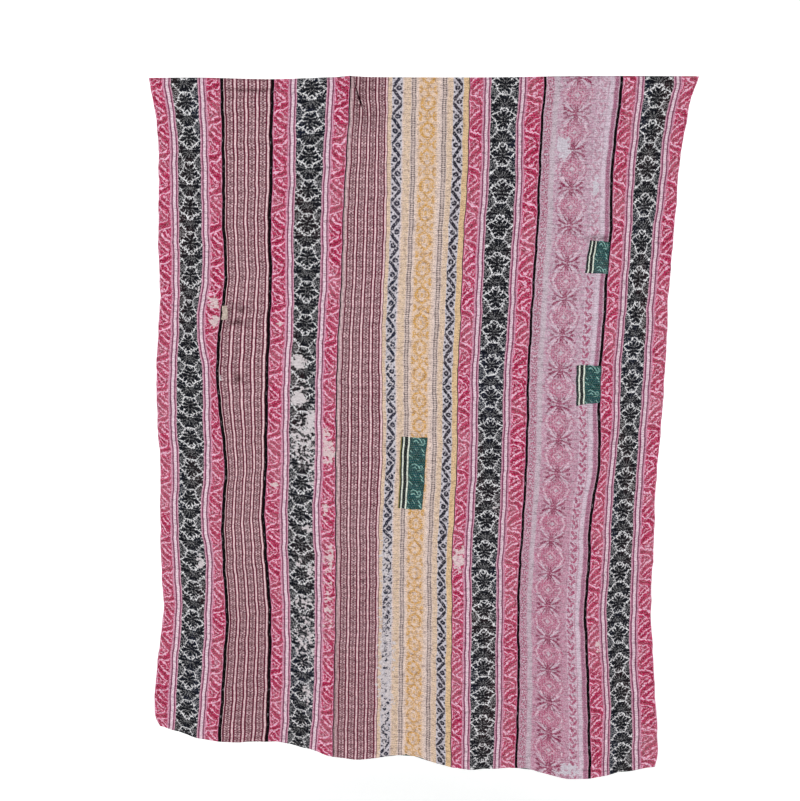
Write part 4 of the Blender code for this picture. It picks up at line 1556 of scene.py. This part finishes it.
for number, (name, (flat, *corners)) in enumerate(PATCHES.items()):
    corners = np.array(corners)
    width = np.linalg.norm(corners[1] - corners[0])
    length = np.linalg.norm(corners[3] - corners[0])
    across_count = 2 * max(4, round(width / PATCH_POINT_SPACING / 2)) + 1
    down_count = 2 * max(6, round(length / PATCH_POINT_SPACING / 2)) + 1
    over = np.linspace(0.0, 1.0, across_count)[None, :, None]
    down = np.linspace(0.0, 1.0, down_count)[:, None, None]
    places = (corners[0] * (1 - over) + corners[1] * over) * (1 - down)
    places = places + (corners[3] * (1 - over) + corners[2] * over) * down
    over, down = over[..., 0], down[..., 0]
    patch_x = places[..., 0] + SIDE_SAG * sag_of(9.0 * down + number, 23.0 * down + 3 * number)
    patch_drop = places[..., 1] + END_SAG * sag_of(7.0 * over + 2 * number, 19.0 * over + number)
    patch_forward = forward_of(patch_x, patch_drop, along_at(patch_x, patch_drop))
    edge_gap = np.minimum(np.minimum(over, 1 - over) * width, np.minimum(down, 1 - down) * length)
    fold_swell = np.exp(-((edge_gap - FOLD_INSET) / FOLD_WIDTH) ** 2)
    across_stitches = round((width - 2 * STITCH_INSET) / STITCH_PITCH)
    down_stitches = round((length - 2 * STITCH_INSET) / STITCH_PITCH)
    over_inset, down_inset = STITCH_INSET / width, STITCH_INSET / length
    over_turns = (over - over_inset) / (1 - 2 * over_inset) * across_stitches
    down_turns = (down - down_inset) / (1 - 2 * down_inset) * down_stitches
    beside = np.minimum(over, 1 - over) * width < np.minimum(down, 1 - down) * length
    stitched_dips = 0.5 + 0.5 * np.cos(2 * np.pi * np.where(beside, down_turns, over_turns))
    puff = FOLD_PUFF * fold_swell * stitched_dips
    ripple = np.sin(2 * np.pi * patch_drop / RIPPLE_PITCHES[0] + 60 * patch_x)
    ripple = ripple + np.sin(2 * np.pi * patch_x / RIPPLE_PITCHES[1] + number)
    ripple = RIPPLE * ripple * smooth(edge_gap / RIPPLE_START)
    edge_roll = np.sqrt(np.clip(edge_gap / PATCH_EDGE_ROUND, 0.0, 1.0))
    patch_back = -QUILT_THICKNESS / 2 - patch_forward - PATCH_GAP
    patch_front = patch_back - PATCH_RIM - (PATCH_THICKNESS - PATCH_RIM + puff + ripple) * edge_roll
    front_points = np.stack([patch_x, patch_front, -patch_drop], axis=-1)
    rear_points = np.stack([patch_x, patch_back, -patch_drop], axis=-1)[::BACK_STEP, ::BACK_STEP]
    patch = close_sheet(name + "_cloth", front_points, rear_points, BACK_STEP)
    write_grid_map(patch, "cloth", np.stack([patch_x + OWN_PLACE + number, patch_drop], axis=-1))
    print_grid = np.stack(np.broadcast_arrays(over, down * length / PATCH_REPEAT), axis=-1)
    write_grid_map(patch, "print", print_grid)
    patch.data.materials.append(PATCH_COTTONS[name])
    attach(patch, "root")
    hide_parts(name)

    # The running stitches round this patch's edge, half sunk in its cloth.
    rounds = [
        ((over_inset, down_inset), (1 - over_inset, down_inset), across_stitches),
        ((1 - over_inset, down_inset), (1 - over_inset, 1 - down_inset), down_stitches),
        ((1 - over_inset, 1 - down_inset), (over_inset, 1 - down_inset), across_stitches),
        ((over_inset, 1 - down_inset), (over_inset, down_inset), down_stitches),
    ]
    stitches = []
    for start, end, count in rounds:
        start, end = np.array(start), np.array(end)
        for step in range(count):
            shares = [start + (end - start) * (step + share) / count for share in STITCH_ENDS]
            first, last = (place_on(front_points, *share) for share in shares)
            middle = (first + last) / 2
            stitch = new_object("stitch", one_stitch.data.copy())
            stitch.location = (middle[0], middle[1] - STITCH_LIFT, middle[2])
            slant = STITCH_SLANT * np.sin(7.0 * len(stitches) + number)
            heading = np.arctan2(first[2] - last[2], last[0] - first[0])
            stitch.rotation_euler = (0.0, heading + slant, 0.0)
            stitches.append(stitch)
    deselect_all()
    for stitch in stitches:
        stitch.select_set(True)
    bpy.context.view_layer.objects.active = stitches[0]
    bpy.ops.object.join()
    bpy.ops.object.transform_apply(location=True, rotation=True, scale=True)
    sewing = bpy.context.object
    sewing.name = name + "_stitches"
    sewing.data.materials.append(PATCH_THREADS[name])
    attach(sewing, "root")
bpy.data.objects.remove(one_stitch)
